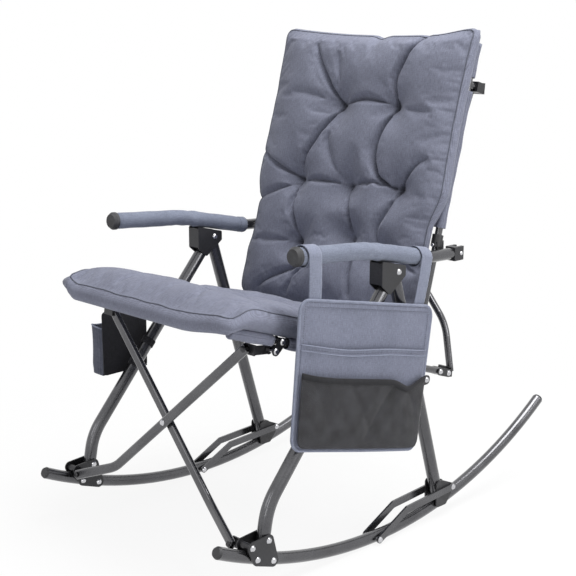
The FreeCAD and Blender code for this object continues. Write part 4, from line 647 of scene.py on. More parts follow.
# Folds, each from a tuft outwards: points (x, t), depth at both ends, width
BACK_FOLDS = [
    ([(-50, 271), (-88, 315), (-127, 365), (-156, 415)], 20, 8, 8),
    ([(-50, 272), (-61, 333), (-74, 392)], 9, 3, 8),
    ([(-50, 271), (29, 286), (110, 279)], 15, 15, 8),
    ([(-50, 261), (-93, 197), (-121, 148), (-134, 93)], 18, 18, 8),
    ([(-52, 246), (-59, 187), (-23, 127), (18, 91)], 7, 6, 9),
    ([(110, 279), (104, 332), (120, 380), (143, 429), (155, 445)], 22, 16, 8),
    ([(111, 272), (93, 222), (86, 165), (105, 122), (140, 99), (166, 96)], 21, 20, 8),
    ([(166, 96), (184, 126), (212, 156), (240, 168)], 20, 5, 9),
    ([(-135, 91), (-194, 111), (-290, 150)], 19, 7, 8),
    ([(-135, 80), (-209, 52), (-290, 22)], 14, 5, 8),
    ([(-131, 87), (-54, 92), (20, 89)], 12, 12, 8),
    ([(21, 89), (87, 101), (164, 96)], 12, 13, 8),
    ([(-134, 76), (-141, 30), (-143, -2)], 15, 4, 8),
    ([(-135, 61), (-128, 10), (-101, -55), (-93, -82)], 16, 12, 8),
    ([(22, 83), (44, 22), (55, -22)], 11, 15, 8),
    ([(165, 90), (149, 42), (133, -4), (146, -48)], 15, 12, 9),
    ([(-59, -96), (-95, -120), (-156, -149), (-226, -190)], 18, 10, 9),
    ([(-62, -106), (-89, -143), (-110, -190)], 13, 7, 9),
    ([(60, -36), (77, -84), (82, -116), (99, -170)], 14, 8, 8),
    ([(110, 277), (166, 268), (226, 264)], 8, 2, 9),
    ([(-50, 270), (-118, 286), (-206, 292)], 8, 2, 9),
    ([(-103, -56), (-180, -62), (-270, -70)], 10, 3, 9),
    ([(150, -52), (206, -60), (262, -84)], 10, 5, 9),
    ([(150, -52), (160, -110), (150, -178)], 11, 5, 9),
    ([(-103, -58), (-76, -90), (-59, -98)], 14, 17, 8),
]
BACK_FOLD_GAIN = 1.35
BACK_GRID, BACK_COARSE_GRID = (188, 208), (94, 104)
# How firmly the far ends of the folds are held, and how far air may move the front
BACK_FOLD_END, BACK_AIR = 0.3, 12
# Depth and width of the bowl round a tuft, and depth of its dimple
BACK_BOWLS = (25, 38, 15)
# Bowls round the tufts that get painted shade as the creases do
BACK_SHADED = (4, 24, 14)
# Thickness along the seam, more in the middle, and the least of all
BACK_EDGE, BACK_CROWN, BACK_THINNEST = 28, 24, 6
BACK_SIDE_SWELL, BACK_END_SWELL, BACK_CORNER = 7, 6, 16
# Where the waist between the arms opens out, upwards and downwards, and the draw of the sides above it
WAIST_ABOVE, WAIST_BELOW = (16, 106), (-46, -98)
WAIST_FRONT, SIDE_DRAW, SIDE_DRAW_FROM = 4, 5, 110
# How far the rear lies off the collars, which the uprights slide in
COLLAR_LIFT = 8


def back_point(x, t, f):
    """Points of the back in the chair's frame."""
    lean_sin, lean_cos = math.sin(BACK_LEAN), math.cos(BACK_LEAN)
    y = BACK_BASE[0] + lean_sin * t - lean_cos * f
    return np.stack([x, y, BACK_BASE[1] + lean_cos * t + lean_sin * f], -1)


def back_width(t, c):
    """Half the back cushion's width: drawn in between the arms, a little less at its front than behind."""
    waist = BACK_WAIST + WAIST_FRONT * c
    rise = np.clip((t - SIDE_DRAW_FROM) / (BACK_HIGH - SIDE_DRAW_FROM), 0, 1)
    above = (BACK_HALF - waist) * smooth_step(t, *WAIST_ABOVE)
    below = (BACK_LOWER - waist) * smooth_step(t, *WAIST_BELOW)
    return waist + above + below - SIDE_DRAW * np.sin(math.pi * rise)


def back_folds(x, t):
    """How deep the folds are, below zero on the rolls beside them."""
    valley, roll = np.zeros(x.shape), np.zeros(x.shape)
    for points, start, end, width in BACK_FOLDS:
        depth = BACK_FOLD_GAIN * fold_depth(x, t, points, start, end, width)
        valley = np.maximum(valley, depth)
        roll = np.minimum(roll, depth)
    return valley + roll


def back_front(x, t, a, b):
    """Thickness of the back cushion."""
    thin_ends = 0.84 + 0.16 * smooth_step(b, 0, 0.04) * smooth_step(b, 1.0, 0.96)
    crown = (1 - np.abs(a) ** 6) * (1 - np.abs(2 * b - 1) ** 20)
    depth = (BACK_EDGE + BACK_CROWN * crown) * thin_ends
    hollow = tuft_depth(x, t, BACK_TUFTS, *BACK_BOWLS)
    sunk = np.maximum(hollow, back_folds(x, t) + 0.55 * hollow)
    return np.maximum(depth - sunk + 2.2 * wander(x, t, 46, 3.1), BACK_THINNEST)


def back_place(a, b, c):
    """x, t and f of the back cushion's points. Its top edge dips, with a notch and a raised left corner."""
    t = BACK_LOW + (BACK_HIGH - BACK_LOW) * b
    wide = back_width(t, c) - BACK_SIDE_SWELL
    x, t = round_corners(a * wide, t, wide, BACK_LOW, BACK_HIGH, BACK_CORNER)
    dip = 13 * (1 - np.abs(a - 0.05) ** 2)
    notch = 6 * np.exp(-((x - 22) / 16) ** 2)
    raised = 8 * smooth_step(a, 0.6, 0.95)
    t = t - smooth_step(b, 0.86, 1.0) * (dip + notch - raised)
    swollen = np.sin(math.pi * c)
    collar_run = smooth_step(np.abs(x), 222, 234) * smooth_step(t, -150, -122) * smooth_step(t, 50, 22)
    f = BACK_REAR + COLLAR_LIFT * collar_run * (1 - c) + c * back_front(x, t, a, b)
    return x + BACK_SIDE_SWELL * outward_sides(a) * swollen, t + BACK_END_SWELL * outward_ends(b) * swollen, f


def make_back_cushion():
    held_at = BACK_TUFTS, BACK_FOLDS, BACK_FOLD_END
    (a, b, c), (x, t, f), points, faces, rim = swollen_pad(
        "back_trial", BACK_GRID, BACK_COARSE_GRID, back_place, back_point, held_at, BACK_AIR)
    side = np.abs(a) == 1
    uv = np.stack([x + f * side, t + f * ~side * (b % 1 == 0)], 1)
    pad = make_object("back_cushion_pad", points, faces, CLOTH, uv)
    # Painted shade darkens the cloth in the deepest creases and tuft bowls
    paint_crease_shade(pad, back_folds(x, t) + tuft_depth(x, t, BACK_TUFTS, *BACK_SHADED), c)
    fit_cushion(pad, rim, (0, -0.96, 0.27), "right_back", "back_cushion")


make_back_cushion()


# Seat cushion: s runs back along the rails from the front edge, h up from them

SEAT_SLOPE = math.radians(18.22)
SEAT_BASE = (-402.0, 539.4)
SEAT_LONG, SEAT_HALF = 522.0, 267.0
SEAT_TUFTS = [(-76, 157), (76, 157), (-152, 313), (0, 313), (152, 313)]
SEAT_FOLDS = [
    ([(-76, 157), (-90, 80), (-120, 14)], 9, 3, 9),
    ([(76, 157), (92, 84), (130, 20)], 9, 3, 9),
    ([(-76, 157), (0, 150), (76, 157)], 7, 7, 9),
    ([(-76, 157), (-160, 140), (-250, 110)], 8, 3, 9),
    ([(76, 157), (160, 136), (252, 100)], 8, 3, 9),
    ([(-76, 157), (-120, 240), (-152, 313)], 8, 8, 9),
    ([(76, 157), (120, 240), (152, 313)], 8, 8, 9),
    ([(-76, 157), (-40, 240), (0, 313)], 7, 7, 9),
    ([(76, 157), (40, 240), (0, 313)], 7, 7, 9),
    ([(152, 313), (210, 330), (258, 340)], 7, 3, 9),
    ([(-152, 313), (-210, 330), (-258, 340)], 7, 3, 9),
]
SEAT_FOLD_GAIN = 1.4
SEAT_GRID, SEAT_COARSE_GRID = (160, 156), (90, 88)
SEAT_FOLD_END, SEAT_AIR = 0.4, 10
SEAT_BOWLS = (18, 46, 11)
# Thickness along the seam, more towards the rear, more in the middle, and the least of all
SEAT_EDGE, SEAT_REAR_RISE, SEAT_CROWN, SEAT_THINNEST = 39, 10, 16, 12
SEAT_SIDE, SEAT_WAIST, SEAT_END_SWELL, SEAT_CORNER = 7, 6, 9, 15
# How far the front edge hangs down, and less at its right and left ends
SEAT_DROOP, DROOP_LESS_RIGHT, DROOP_LESS_LEFT = 31, 16, 13


def seat_point(x, s, h):
    """Points of the seat in the chair's frame."""
    slope_sin, slope_cos = math.sin(SEAT_SLOPE), math.cos(SEAT_SLOPE)
    y = SEAT_BASE[0] + slope_cos * s + slope_sin * h
    return np.stack([x, y, SEAT_BASE[1] - slope_sin * s + slope_cos * h], -1)


def seat_top(x, s, a, b):
    """Thickness of the seat cushion."""
    ends = 1 - 0.1 * (1 - smooth_step(b, 0, 0.04) * smooth_step(b, 1.0, 0.94))
    crown = (1 - np.abs(a) ** 4) * (1 - np.abs(2 * b - 1) ** 7)
    depth = (SEAT_EDGE + SEAT_REAR_RISE * b + SEAT_CROWN * crown) * ends
    hollow = tuft_depth(x, s, SEAT_TUFTS, *SEAT_BOWLS)
    folds = np.zeros(x.shape)
    for points, start, end, width in SEAT_FOLDS:
        folds = np.maximum(folds, SEAT_FOLD_GAIN * fold_depth(x, s, points, start, end, width))
    sunk = np.maximum(hollow, folds + 0.6 * hollow)
    corner = 11 * np.exp(-((np.abs(x) - 246) ** 2 + (s - 16) ** 2) / 13 ** 2)
    return np.maximum(depth - sunk - corner + 3 * wander(x, s, 52, 7.7), SEAT_THINNEST)


def seat_droop(x, s):
    """How far the cushion's front hangs down ahead of the rails' ends."""
    right, left = smooth_step(x, -215, -262), smooth_step(x, 130, 262)
    return (SEAT_DROOP - DROOP_LESS_RIGHT * right - DROOP_LESS_LEFT * left) * smooth_step(s, 66, -8) ** 1.3


def seat_place(a, b, c):
    """x, s and h of the seat cushion's points."""
    s = SEAT_LONG * b
    wide = SEAT_HALF - SEAT_SIDE - SEAT_WAIST * np.sin(math.pi * b)
    x, s = round_corners(a * wide, s, wide, 0, SEAT_LONG, SEAT_CORNER)
    side = outward_sides(a)
    swollen = np.sin(math.pi * c)
    puff = 12 + 2 * np.sin(s / 31) * np.abs(side)
    hang = seat_droop(x, s) * np.where(c == 0, smooth_step(s, 15, 6), 1)
    h = c * seat_top(x, s, a, b) - hang
    return x + puff * side * swollen, s + SEAT_END_SWELL * outward_ends(b) * swollen, h


def make_seat_cushion():
    held_at = SEAT_TUFTS, SEAT_FOLDS, SEAT_FOLD_END
    (a, b, c), (x, s, h), points, faces, rim = swollen_pad(
        "seat_trial", SEAT_GRID, SEAT_COARSE_GRID, seat_place, seat_point, held_at, SEAT_AIR)
    uv = np.stack([x + h * outward_sides(a), s + h * outward_ends(b)], 1)
    pad = make_object("seat_cushion_pad", points, faces, CLOTH, uv)
    fit_cushion(pad, rim, (0, 0.31, 0.95), "right_rail", "seat_cushion")


make_seat_cushion()


# Slings: cloth between two tubes, sewn to a sleeve round each of them

SLEEVE_RADIUS = 9.4
SLING_THICK = 1.4
# How far the seat sling starts behind the cushion's front edge, and how far its tubes lie below the cushion
RAIL_BEHIND, RAIL_BELOW = 16, 10.5


def sling_sleeve(side, rows, half, gap, place, closed_front):
    """Cloth round one tube. rows are its ends along the tube, gap is where it is cut out for a bracket."""
    turn = np.linspace(0, 2 * math.pi, 25)
    meshes = []
    for low, high in ((rows[0], gap[0]), (gap[1], rows[1])):
        inner = np.linspace(low + 5, high, max(4, int((high - low) / 6)))
        along = np.concatenate([np.linspace(low, low + 3, 5), inner])
        row = along[:, None]
        loose = 2.6 * np.clip(-np.sin(turn), 0, 1)[None] * (1 + 0.3 * np.sin(row / 23))
        ripple = 0.35 * np.sin(row / 9 + 3 * turn[None]) + 0.35 * np.sin(row / 17 - 2 * turn[None])
        closed = 1 - 0.97 * smooth_step(row, rows[0] + 2.5, rows[0]) if closed_front else 1
        girth = (SLEEVE_RADIUS + 0.35 + loose + ripple) * closed
        x = side * half + girth * np.cos(turn)[None]
        grid = place(x, np.repeat(row, len(turn), 1), girth * np.sin(turn)[None])
        meshes.append(grid_mesh(grid, along, turn * SLEEVE_RADIUS))
    return meshes


def sling_middle(rows, half, sag, gap, notch, place):
    """Cloth between the tops of two tubes, sagging between them, with a notch for each bracket."""
    along = np.linspace(rows[0], rows[1], 80)
    across = np.linspace(-half, half, 70)
    row, share = along[:, None], across / half
    dip = SLEEVE_RADIUS - 0.4 - sag * (1 - share ** 2)[None] * (1 + 0.15 * np.sin(row / 60))
    dip = dip + 0.5 * np.sin(across / 19)[None] * np.sin(row / 47)
    drawn_in = notch * smooth_step(row, gap[0] - 14, gap[0]) * smooth_step(row, gap[1] + 14, gap[1])
    grid = place(share[None] * (half - drawn_in), np.repeat(row, len(across), 1), dip)
    return grid_mesh(grid, along, across)


def make_sling(part, body, rows, half, sag, gap, place, notch=0, closed_front=False):
    """A sling in three pieces: a sleeve on each tube, and the cloth between them, which rides on the right
    side's body.
    """
    cloth = joined(part + "_sling_cloth", CLOTH, sling_middle(rows, half, sag, gap, notch, place))
    fit(thicken(cloth, SLING_THICK), "right" + body, "cushion_cloth", part + "_sling")
    for name, side in (("right", -1), ("left", 1)):
        meshes = sling_sleeve(side, rows, half, gap, place, closed_front)
        sleeve = thicken(joined("%s_%s_sling_sleeve" % (name, part), CLOTH, *meshes), SLING_THICK)
        fit(sleeve, name + body, "cushion_cloth")
    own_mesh(cloth)


def seat_sling_point(x, s, out):
    return seat_point(x, s + RAIL_BEHIND, out - RAIL_BELOW)


make_sling("back", "_back", rows=(28, 431), half=UPRIGHT_X, sag=6, gap=(327, 357),
           place=back_point)
make_sling("seat", "_rail", rows=(-3, 520), half=RAIL_X, sag=4, gap=(112, 154),
           place=seat_sling_point, notch=27, closed_front=True)


# Arm sleeves: padded cloth round the arm tubes

ARM_X = 285.0
ARM_CORNERS = [(-250.0, 652.0), (-60.0, 638.0), (135.0, 597.0), (226.0, 594.0)]
ARM_BLEND = 22.0
SLEEVE_FRONT, SLEEVE_HEM, SLEEVE_REAR = -250.0, 112.0, 133.0
PADDING_RADIUS, PADDING_SIDES = 17.8, 48
STITCHED_AT, STITCH_LIFT = (109.0, 129.0), 1.012


def arm_height(y):
    """Height of the arm's centre line, its bends rounded."""
    ys, zs = zip(*ARM_CORNERS)
    near = np.linspace(-ARM_BLEND, ARM_BLEND, 15)
    slope_first = (zs[1] - zs[0]) / (ys[1] - ys[0])
    places = np.asarray(y, dtype=float)[..., None] + near
    heights = np.interp(places, ys, zs) + np.minimum(places - ys[0], 0) * slope_first
    return heights.mean(-1)


def make_arm_sleeve(side, x_middle):
    """Padding with wrinkles under the arm's bend, a pinch over it, a seam and a stitched hem."""
    name, body = side + "_arm_padding", side + "_side"
    ys = np.concatenate([np.linspace(SLEEVE_FRONT, -238, 6), np.linspace(-235, 124, 150),
                         np.linspace(126, SLEEVE_REAR, 5)])
    centre = np.stack([np.full(len(ys), x_middle), ys, arm_height(ys)], 1)
    points, faces, uv = tube_mesh(centre, 1.0, sides=PADDING_SIDES)
    points = points.reshape(len(ys), PADDING_SIDES, 3)
    angle = 2 * np.pi * np.arange(PADDING_SIDES) / PADDING_SIDES
    aside = np.cos(angle)[None]
    over, under = (np.clip(way * np.sin(angle), 0, 1)[None] for way in (1, -1))
    along = ys[:, None]
    bend = np.exp(-((along + 48) / 40) ** 2)
    wrinkle = bend * (0.15 + under) * np.sin(along / 5.2 + 1.3 * aside + 0.9 * np.sin(along / 17))
    wrinkle += 0.5 * np.exp(-((along - SLEEVE_HEM) / 26) ** 2) * (1 - under) * np.sin(along / 6.1 + aside)
    slant = along + 52 - 14 * aside - 9 * over
    pinch = -3.0 * over * np.exp(-np.abs(slant) / 4.5) + 0.8 * over * np.exp(-((slant - 15) / 9) ** 2)
    slow = np.array([[noise.noise((y / 38, math.cos(q) * 0.8, math.sin(q) * 0.8 + x_middle)) for q in angle]
                     for y in ys])
    seam = -0.9 * np.exp(-((angle - 1.62 * math.pi) / 0.07) ** 2)[None]
    hem = 0.6 * smooth_step(along, SLEEVE_HEM, 115) - 1.0 * np.exp(-((along - SLEEVE_HEM) / 2.2) ** 2)
    mouth = -1.8 * smooth_step(along, -240, SLEEVE_FRONT) - 1.2 * smooth_step(along, 129, SLEEVE_REAR)
    radius = PADDING_RADIUS + 0.8 * wrinkle + pinch + 0.8 * slow + seam + hem + mouth
    points = centre[:, None] + (points - centre[:, None]) * radius[:, :, None]
    uv = np.stack([np.tile(angle * 18, len(ys)), np.repeat(ys, PADDING_SIDES)], 1)
    sleeve = make_object(name, points.reshape(-1, 3), faces, SLEEVE_CLOTH, uv)
    fit(sleeve, body, "cushion_cloth", side + "_arm_sleeve")
    rows = []
    for y in STITCHED_AT:
        row = int(np.argmin(np.abs(ys - y)))
        ring = centre[row] + (points[row] - centre[row]) * STITCH_LIFT
        rows.append(np.vstack([ring, ring[:1]]))
    fit(stitch_rows(name + "_stitches", rows), body, "cushion_cloth")


make_arm_sleeve("left", ARM_X)
make_arm_sleeve("right", -ARM_X)


# Organizer on the left arm: a runs back along it from -1 to 1, v up from its lower edge as a share

PANEL_X = 306.0
PANEL_TOP = [(-265.0, 575.0), (130.0, 496.0)]
PANEL_FOOT = [(-288.0, 281.0), (82.0, 189.0)]
PANEL_WIDE, PANEL_TALL = 392.0, 300.0
PANEL_HALF = PANEL_WIDE / 2
PANEL_CORNER, PANEL_HEM, PANEL_THICK = 24, 12.5, 3
BINDING_RADIUS, BINDING_FLAT, BINDING_BACK = 3.4, 0.85, 1.6
POCKET_HEM, NET_HEM, POCKET_FOOT = 0.706, 0.522, 0.02
POCKET_INSET = 0.965
# Folds of the net: points (across, up), depth at both ends, width
NET_FOLDS = [
    ([(100, 150), (44, 84), (-6, 6)], 5.5, 2.5, 13),
    ([(112, 148), (160, 100), (184, 30)], 4.5, 2, 12),
    ([(-60, 152), (-20, 96), (40, 20)], 3, 1.5, 14),
    ([(-170, 150), (-130, 90), (-90, 10)], 3, 1.5, 14),
]
NET_FOLD_GAIN, NET_ROLL = 0.8, 1.5


def panel_point(a, v, out):
    """Points of the organizer in the chair's frame, out from its inner face."""
    share = (a + 1) / 2
    y_top, z_top = (front + (rear - front) * share for front, rear in zip(*PANEL_TOP))
    y_foot, z_foot = (front + (rear - front) * share for front, rear in zip(*PANEL_FOOT))
    wave = 2.2 * np.sin(2.6 * a + 1.0) * (1 - v) ** 2 + 1.2 * np.sin(3.4 * a) * v ** 2
    return np.stack([PANEL_X + out + wave, y_foot + (y_top - y_foot) * v, z_foot + (z_top - z_foot) * v], -1)


def panel_shares(a, v):
    """Rounds the organizer's corners."""
    x, t = round_corners(a * PANEL_WIDE / 2, v * PANEL_TALL, PANEL_HALF, 0, PANEL_TALL, PANEL_CORNER)
    return x / PANEL_HALF, t / PANEL_TALL


def panel_uv(a, v):
    return np.stack([a * PANEL_WIDE / 2, v * PANEL_TALL], 1)


def sewn(a, v):
    """1 in the middle of a pocket and 0 along its sewn sides and foot."""
    return (1 - np.abs(a) ** 6) * smooth_step(v, 0.0, 0.16)


def make_pocket(name, hem, sway, lift, bulge, thick, material, node):
    """A pocket with an open top: hem is its share of the organizer's height, sway how its mouth hangs."""
    (a, b, c), faces, rim = pad_grid(110, 74, 1)
    top = hem + sway(a)
    a_in, v = panel_shares(a * POCKET_INSET, POCKET_FOOT + b * (top - POCKET_FOOT))
    across, up = a * PANEL_HALF, v * PANEL_TALL
    mouth = smooth_step(b, 0.72, 1.0)
    out = lift + bulge * sewn(a, v) * (0.72 + 0.28 * mouth) + thick * c
    out = out + 0.5 * sewn(a, v) * wander(across, up, 34, lift)
    if material is NET:
        crease = np.zeros(a.shape)
        for points, start, end, width in NET_FOLDS:
            crease = crease + NET_FOLD_GAIN * fold_depth(across, up, points, start, end, width, sharp=0)
        out = out - np.maximum(crease, -NET_ROLL) * sewn(a, v)
    pocket = make_object(name, panel_point(a_in, v, out), faces, material, panel_uv(a_in, v))
    fit(pocket, "organizer", "mesh" if material is NET else "cushion_cloth", node)
    mouth_a = np.linspace(-POCKET_INSET, POCKET_INSET, 120)
    mouth_v = hem + sway(mouth_a / POCKET_INSET)
    mouth_out = lift + bulge * sewn(mouth_a / POCKET_INSET, mouth_v) + thick
    return pocket, mouth_a, mouth_v, mouth_out


def pocket_sway(a):
    return -0.012 * (1 - a ** 2) + 0.007 * np.sin(4.5 * a)


def net_sway(a):
    return -0.028 * (1 - a ** 4) - 0.05 * np.exp(-((a - 0.67) / 0.17) ** 2)


def make_panel():
    (a, b, c), faces, rim = pad_grid(150, 118, 1)
    a_in, v = panel_shares(a, b)
    inside = np.minimum((1 - np.abs(a)) * PANEL_WIDE / 2, np.minimum(b, 1 - b) * PANEL_TALL)
    groove = 0.5 * np.exp(-((inside - PANEL_HEM - 3) / 1.8) ** 2)
    sewn_hem = 1.1 * smooth_step(inside, PANEL_HEM + 2.4, PANEL_HEM) - groove
    drape = 0.9 * wander(a * PANEL_HALF, b * PANEL_TALL, 60, 1.7) * smooth_step(inside, 4, 40)
    points = panel_point(a_in, v, PANEL_THICK * c + sewn_hem * c + drape)
    panel = make_object("organizer_cloth", points, faces, PANEL_CLOTH, panel_uv(a_in, v))
    fit(panel, "organizer", "cushion_cloth", "organizer_panel")
    edge = vertex_points(panel, rim)
    edge[:, 0] -= BINDING_BACK
    binding = tube("organizer_binding", edge, BINDING_RADIUS, BINDING, sides=10, closed=True,
                   flat=BINDING_FLAT, level=(1, 0, 0))
    fit(binding, "organizer", "cushion_cloth")
    return panel


def make_organizer():
    panel = make_panel()
    pocket, mouth_a, mouth_v, mouth_out = make_pocket(
        "organizer_cloth_pocket", POCKET_HEM, pocket_sway, lift=3.6, bulge=6.5, thick=1.2,
        material=PANEL_CLOTH, node="organizer_pocket")
    lines = [panel_point(mouth_a, mouth_v - drop, mouth_out + 0.1) for drop in (0.003, 0.042)]
    ridges = (tube_mesh(line, 1.5, sides=6, level=(1, 0, 0)) for line in lines)
    fit(joined("organizer_pocket_hem", BINDING, *ridges), "organizer", "cushion_cloth")

    net, mouth_a, mouth_v, mouth_out = make_pocket(
        "organizer_net_pocket", NET_HEM, net_sway, lift=11.6, bulge=7.0, thick=0.8,
        material=NET, node="organizer_mesh")
    rows = [panel_point(mouth_a, mouth_v - drop, mouth_out + lift) for drop, lift in
            ((-0.006, 0.0), (-0.005, 0.8), (0.014, 1.2), (0.034, 0.8), (0.035, 0.0))]
    points, faces, uv = grid_mesh(np.stack(rows), np.array([0, 1, 6, 12, 13]), mouth_a * PANEL_HALF)
    tape = thicken(make_object("organizer_net_hem", points, faces, HEM_TAPE, uv), 0.8)
    fit(tape, "organizer", "mesh")

    top_a, side_v = np.linspace(-0.93, 0.93, 140), np.linspace(0.06, 0.94, 110)
    high, side = 1 - PANEL_HEM / PANEL_TALL, 1 - 2 * PANEL_HEM / PANEL_WIDE
    proud, pocket_proud = 4.2, 11.4
    rows = [panel_point(top_a, np.full(140, spot), np.full(140, proud)) for spot in (high, 0.988)]
    rows += [panel_point(np.full(110, spot), side_v, np.full(110, proud)) for spot in (-side, side)]
    hem_v = POCKET_HEM + pocket_sway(mouth_a) - 0.024
    rows += [panel_point(mouth_a * 0.98, hem_v, np.full(len(mouth_a), pocket_proud))]
    fit(stitch_rows("organizer_stitches", rows), "organizer", "cushion_cloth")


make_organizer()

STRAP_LOOP, STRAP_TAIL, STRAP_HALF = 21.4, 19.4, 17


def make_strap(name, y_top, y_foot, z_foot, slope):
    """A strap over the arm: sewn round it, with a tail down behind the organizer's top edge."""
    z_arm = float(arm_height(np.array(y_top)))
    angle = np.linspace(0.0, 2 * math.pi - 0.12, 44)
    ring = np.stack([ARM_X + STRAP_LOOP * np.cos(angle), z_arm + STRAP_LOOP * np.sin(angle)], 1)
    tail_z = np.linspace(z_foot, z_arm - 3, 30)
    share = (tail_z - z_foot) / (z_arm - z_foot)
    tail = np.stack([ARM_X + STRAP_TAIL + 2.0 * share + 1.2 * np.sin(math.pi * share), tail_z], 1)
    path = np.vstack([tail, ring])
    share = np.clip((path[:, 1] - z_foot) / (z_arm - z_foot), 0, 1)
    middle = y_foot + (y_top - y_foot) * share
    across = np.linspace(-STRAP_HALF, STRAP_HALF, 15)
    cup = 0.8 * (across / STRAP_HALF) ** 2
    rows = [np.stack([x - cup, y + across, z + across * slope * s], 1)
            for (x, z), y, s in zip(path, middle, share)]
    points, faces, uv = grid_mesh(np.stack(rows), np.arange(len(path)) * 3.0, across)
    strap = thicken(make_object(name, points, faces, BINDING, uv), 1.8)
    fit(strap, "organizer", "cushion_cloth")


make_strap("organizer_front_strap", y_top=-222.0, y_foot=-222.0, z_foot=552.0, slope=-0.09)
make_strap("organizer_rear_strap", y_top=112.0, y_foot=86.0, z_foot=492.0, slope=-0.2)


# Bag on the right front leg: a back panel whose near-black cloth is painted shade, a cloth pocket in front of
# it darkened with painted shade, and two loops round the leg

POUCH_X = -306.0
POUCH_Y = (-279.0, -155.0)
POUCH_MIDDLE, POUCH_HALF = sum(POUCH_Y) / 2, (POUCH_Y[1] - POUCH_Y[0]) / 2
POUCH_FOOT, POUCH_MOUTH, POUCH_TOP = 296.0, 406.0, 444.0
POUCH_CORNER, POUCH_DEEP = 9, 54.0
# The pocket's back edges lie on the panel here, and its outline is a box with corners of this power
POCKET_X, POCKET_POWER = POUCH_X - 2.6, 0.26
LEG_LOW, LEG_HIGH = np.array([-330.0, 174.0]), np.array([8.0, 562.0])
LOOP_RADIUS, LOOP_HALF, LOOP_HEIGHTS = 15.2, 8, (316.0, 360.0)


def make_pouch_panel():
    (a, b, c), faces, rim = pad_grid(36, 44, 1)
    z = POUCH_FOOT + b * (POUCH_TOP - POUCH_FOOT)
    y_in, z_in = round_corners(a * POUCH_HALF, z, POUCH_HALF, POUCH_FOOT, POUCH_TOP, POUCH_CORNER)
    sag = 1.5 * np.sin(5 * a + 3 * b)
    points = np.stack([POUCH_X - 2.4 * (1 - c) + 0.4 * sag, POUCH_MIDDLE + y_in, z_in], 1)
    # The panel's near-black cloth is painted shade on the blue cloth's shadowed face
    panel = make_object("pouch_panel_cloth", points, faces, DARK_AND_SHADED_CLOTH, np.stack([y_in, z_in], 1))
    return fit(panel, "right_side", "cushion_cloth", "right_pouch")


def make_pouch_pocket():
    turn = np.linspace(0, math.pi, 60)
    y = POUCH_MIDDLE - POUCH_HALF * np.sign(np.cos(turn)) * np.abs(np.cos(turn)) ** POCKET_POWER
    out = -(POUCH_DEEP - 3) * np.sin(turn) ** POCKET_POWER
    z = np.linspace(POUCH_FOOT, POUCH_MOUTH, 36)
    share = ((z - z[0]) / (z[-1] - z[0]))[:, None]
    full = 1 - 0.1 * (1 - smooth_step(share, 0, 0.22)) - 0.03 * share
    ripple = 1.3 * np.sin(6 * turn[None] + 5 * share) * np.sin(turn)[None]
    grid_x = POCKET_X + out[None] * full + ripple
    grid_y = POUCH_MIDDLE + (y - POUCH_MIDDLE)[None] * (1 - 0.04 * np.sin(math.pi * share))
    grid_z = z[:, None] + 2.4 * np.sin(3 * turn)[None] * share ** 4
    grid = np.stack([grid_x, grid_y, grid_z], 2)
    rows = np.linspace(0, 1, 10)
    floor_x = POCKET_X + (grid_x[0] - POCKET_X)[None] * rows[:, None]
    floor_y = np.broadcast_to(grid_y[0], floor_x.shape)
    floor = np.stack([floor_x, floor_y, np.full(floor_x.shape, POUCH_FOOT + 0.8)], 2)
    meshes = grid_mesh(grid, z, turn * 60), grid_mesh(floor, rows * POUCH_DEEP, turn * 60)
    # The pocket's darkened cloth is painted shade
    bag = thicken(joined("pouch_pocket_cloth", SHADED_POUCH_CLOTH, *meshes), 1.6)
    fit(bag, "right_side", "cushion_cloth")
    fit(tube("pouch_hem", grid[-1], 1.8, BINDING, sides=8), "right_side", "cushion_cloth")
    return bag


def make_pouch_loops():
    run = (LEG_HIGH - LEG_LOW) / np.linalg.norm(LEG_HIGH - LEG_LOW)
    aside = np.array([-run[1], run[0]])
    angle = np.linspace(0, 2 * math.pi, 33)
    across = np.linspace(-LOOP_HALF, LOOP_HALF, 7)
    bands = []
    for height in LOOP_HEIGHTS:
        centre = LEG_LOW + run * ((height - LEG_LOW[1]) / run[1])
        rings = []
        for spot in centre + run * across[:, None]:
            y, z = (spot[k] + LOOP_RADIUS * np.sin(angle) * aside[k] for k in (0, 1))
            rings.append(np.stack([-ARM_X + LOOP_RADIUS * np.cos(angle), y, z], 1))
        bands.append(grid_mesh(np.stack(rings), across, angle * 15))
    fit(thicken(joined("pouch_loops", DARK_AND_SHADED_CLOTH, *bands), 1.3), "right_side", "cushion_cloth")


def make_pouch():
    panel, bag = make_pouch_panel(), make_pouch_pocket()
    make_pouch_loops()


make_pouch()


# Rivets on the brackets at the arms' rear ends

HEAD_SIDES = 20
# A head's rings: shares of its radius and of its rise
HEAD_RINGS = [(1.0, 0.0), (1.0, 0.25), (0.93, 0.55), (0.75, 0.82), (0.5, 0.96), (0.2, 1.0)]
CLEVIS_HEAD, COLLAR_HEAD = (4.6, 2.4), (4.0, 2.0)


def rivet_head(centre, outward, radius, rise):
    """Domed head with a small flat, on a face that looks along outward."""
    outward = Vector(outward).normalized()
    side = outward.orthogonal().normalized()
    other = outward.cross(side)
    angle = 2 * np.pi * np.arange(HEAD_SIDES) / HEAD_SIDES
    points = [np.array(centre) + np.outer(radius * wide * np.cos(angle), side)
              + np.outer(radius * wide * np.sin(angle), other) + rise * high * np.array(outward)
              for wide, high in HEAD_RINGS]
    faces = []
    for k in range(len(HEAD_RINGS) - 1):
        first, second = k * HEAD_SIDES, (k + 1) * HEAD_SIDES
        for q in range(HEAD_SIDES):
            following = (q + 1) % HEAD_SIDES
            faces.append([first + q, first + following, second + following, second + q])
    faces.append([(len(HEAD_RINGS) - 1) * HEAD_SIDES + q for q in range(HEAD_SIDES)])
    points = np.vstack(points)
    return points, faces, points[:, 1:]


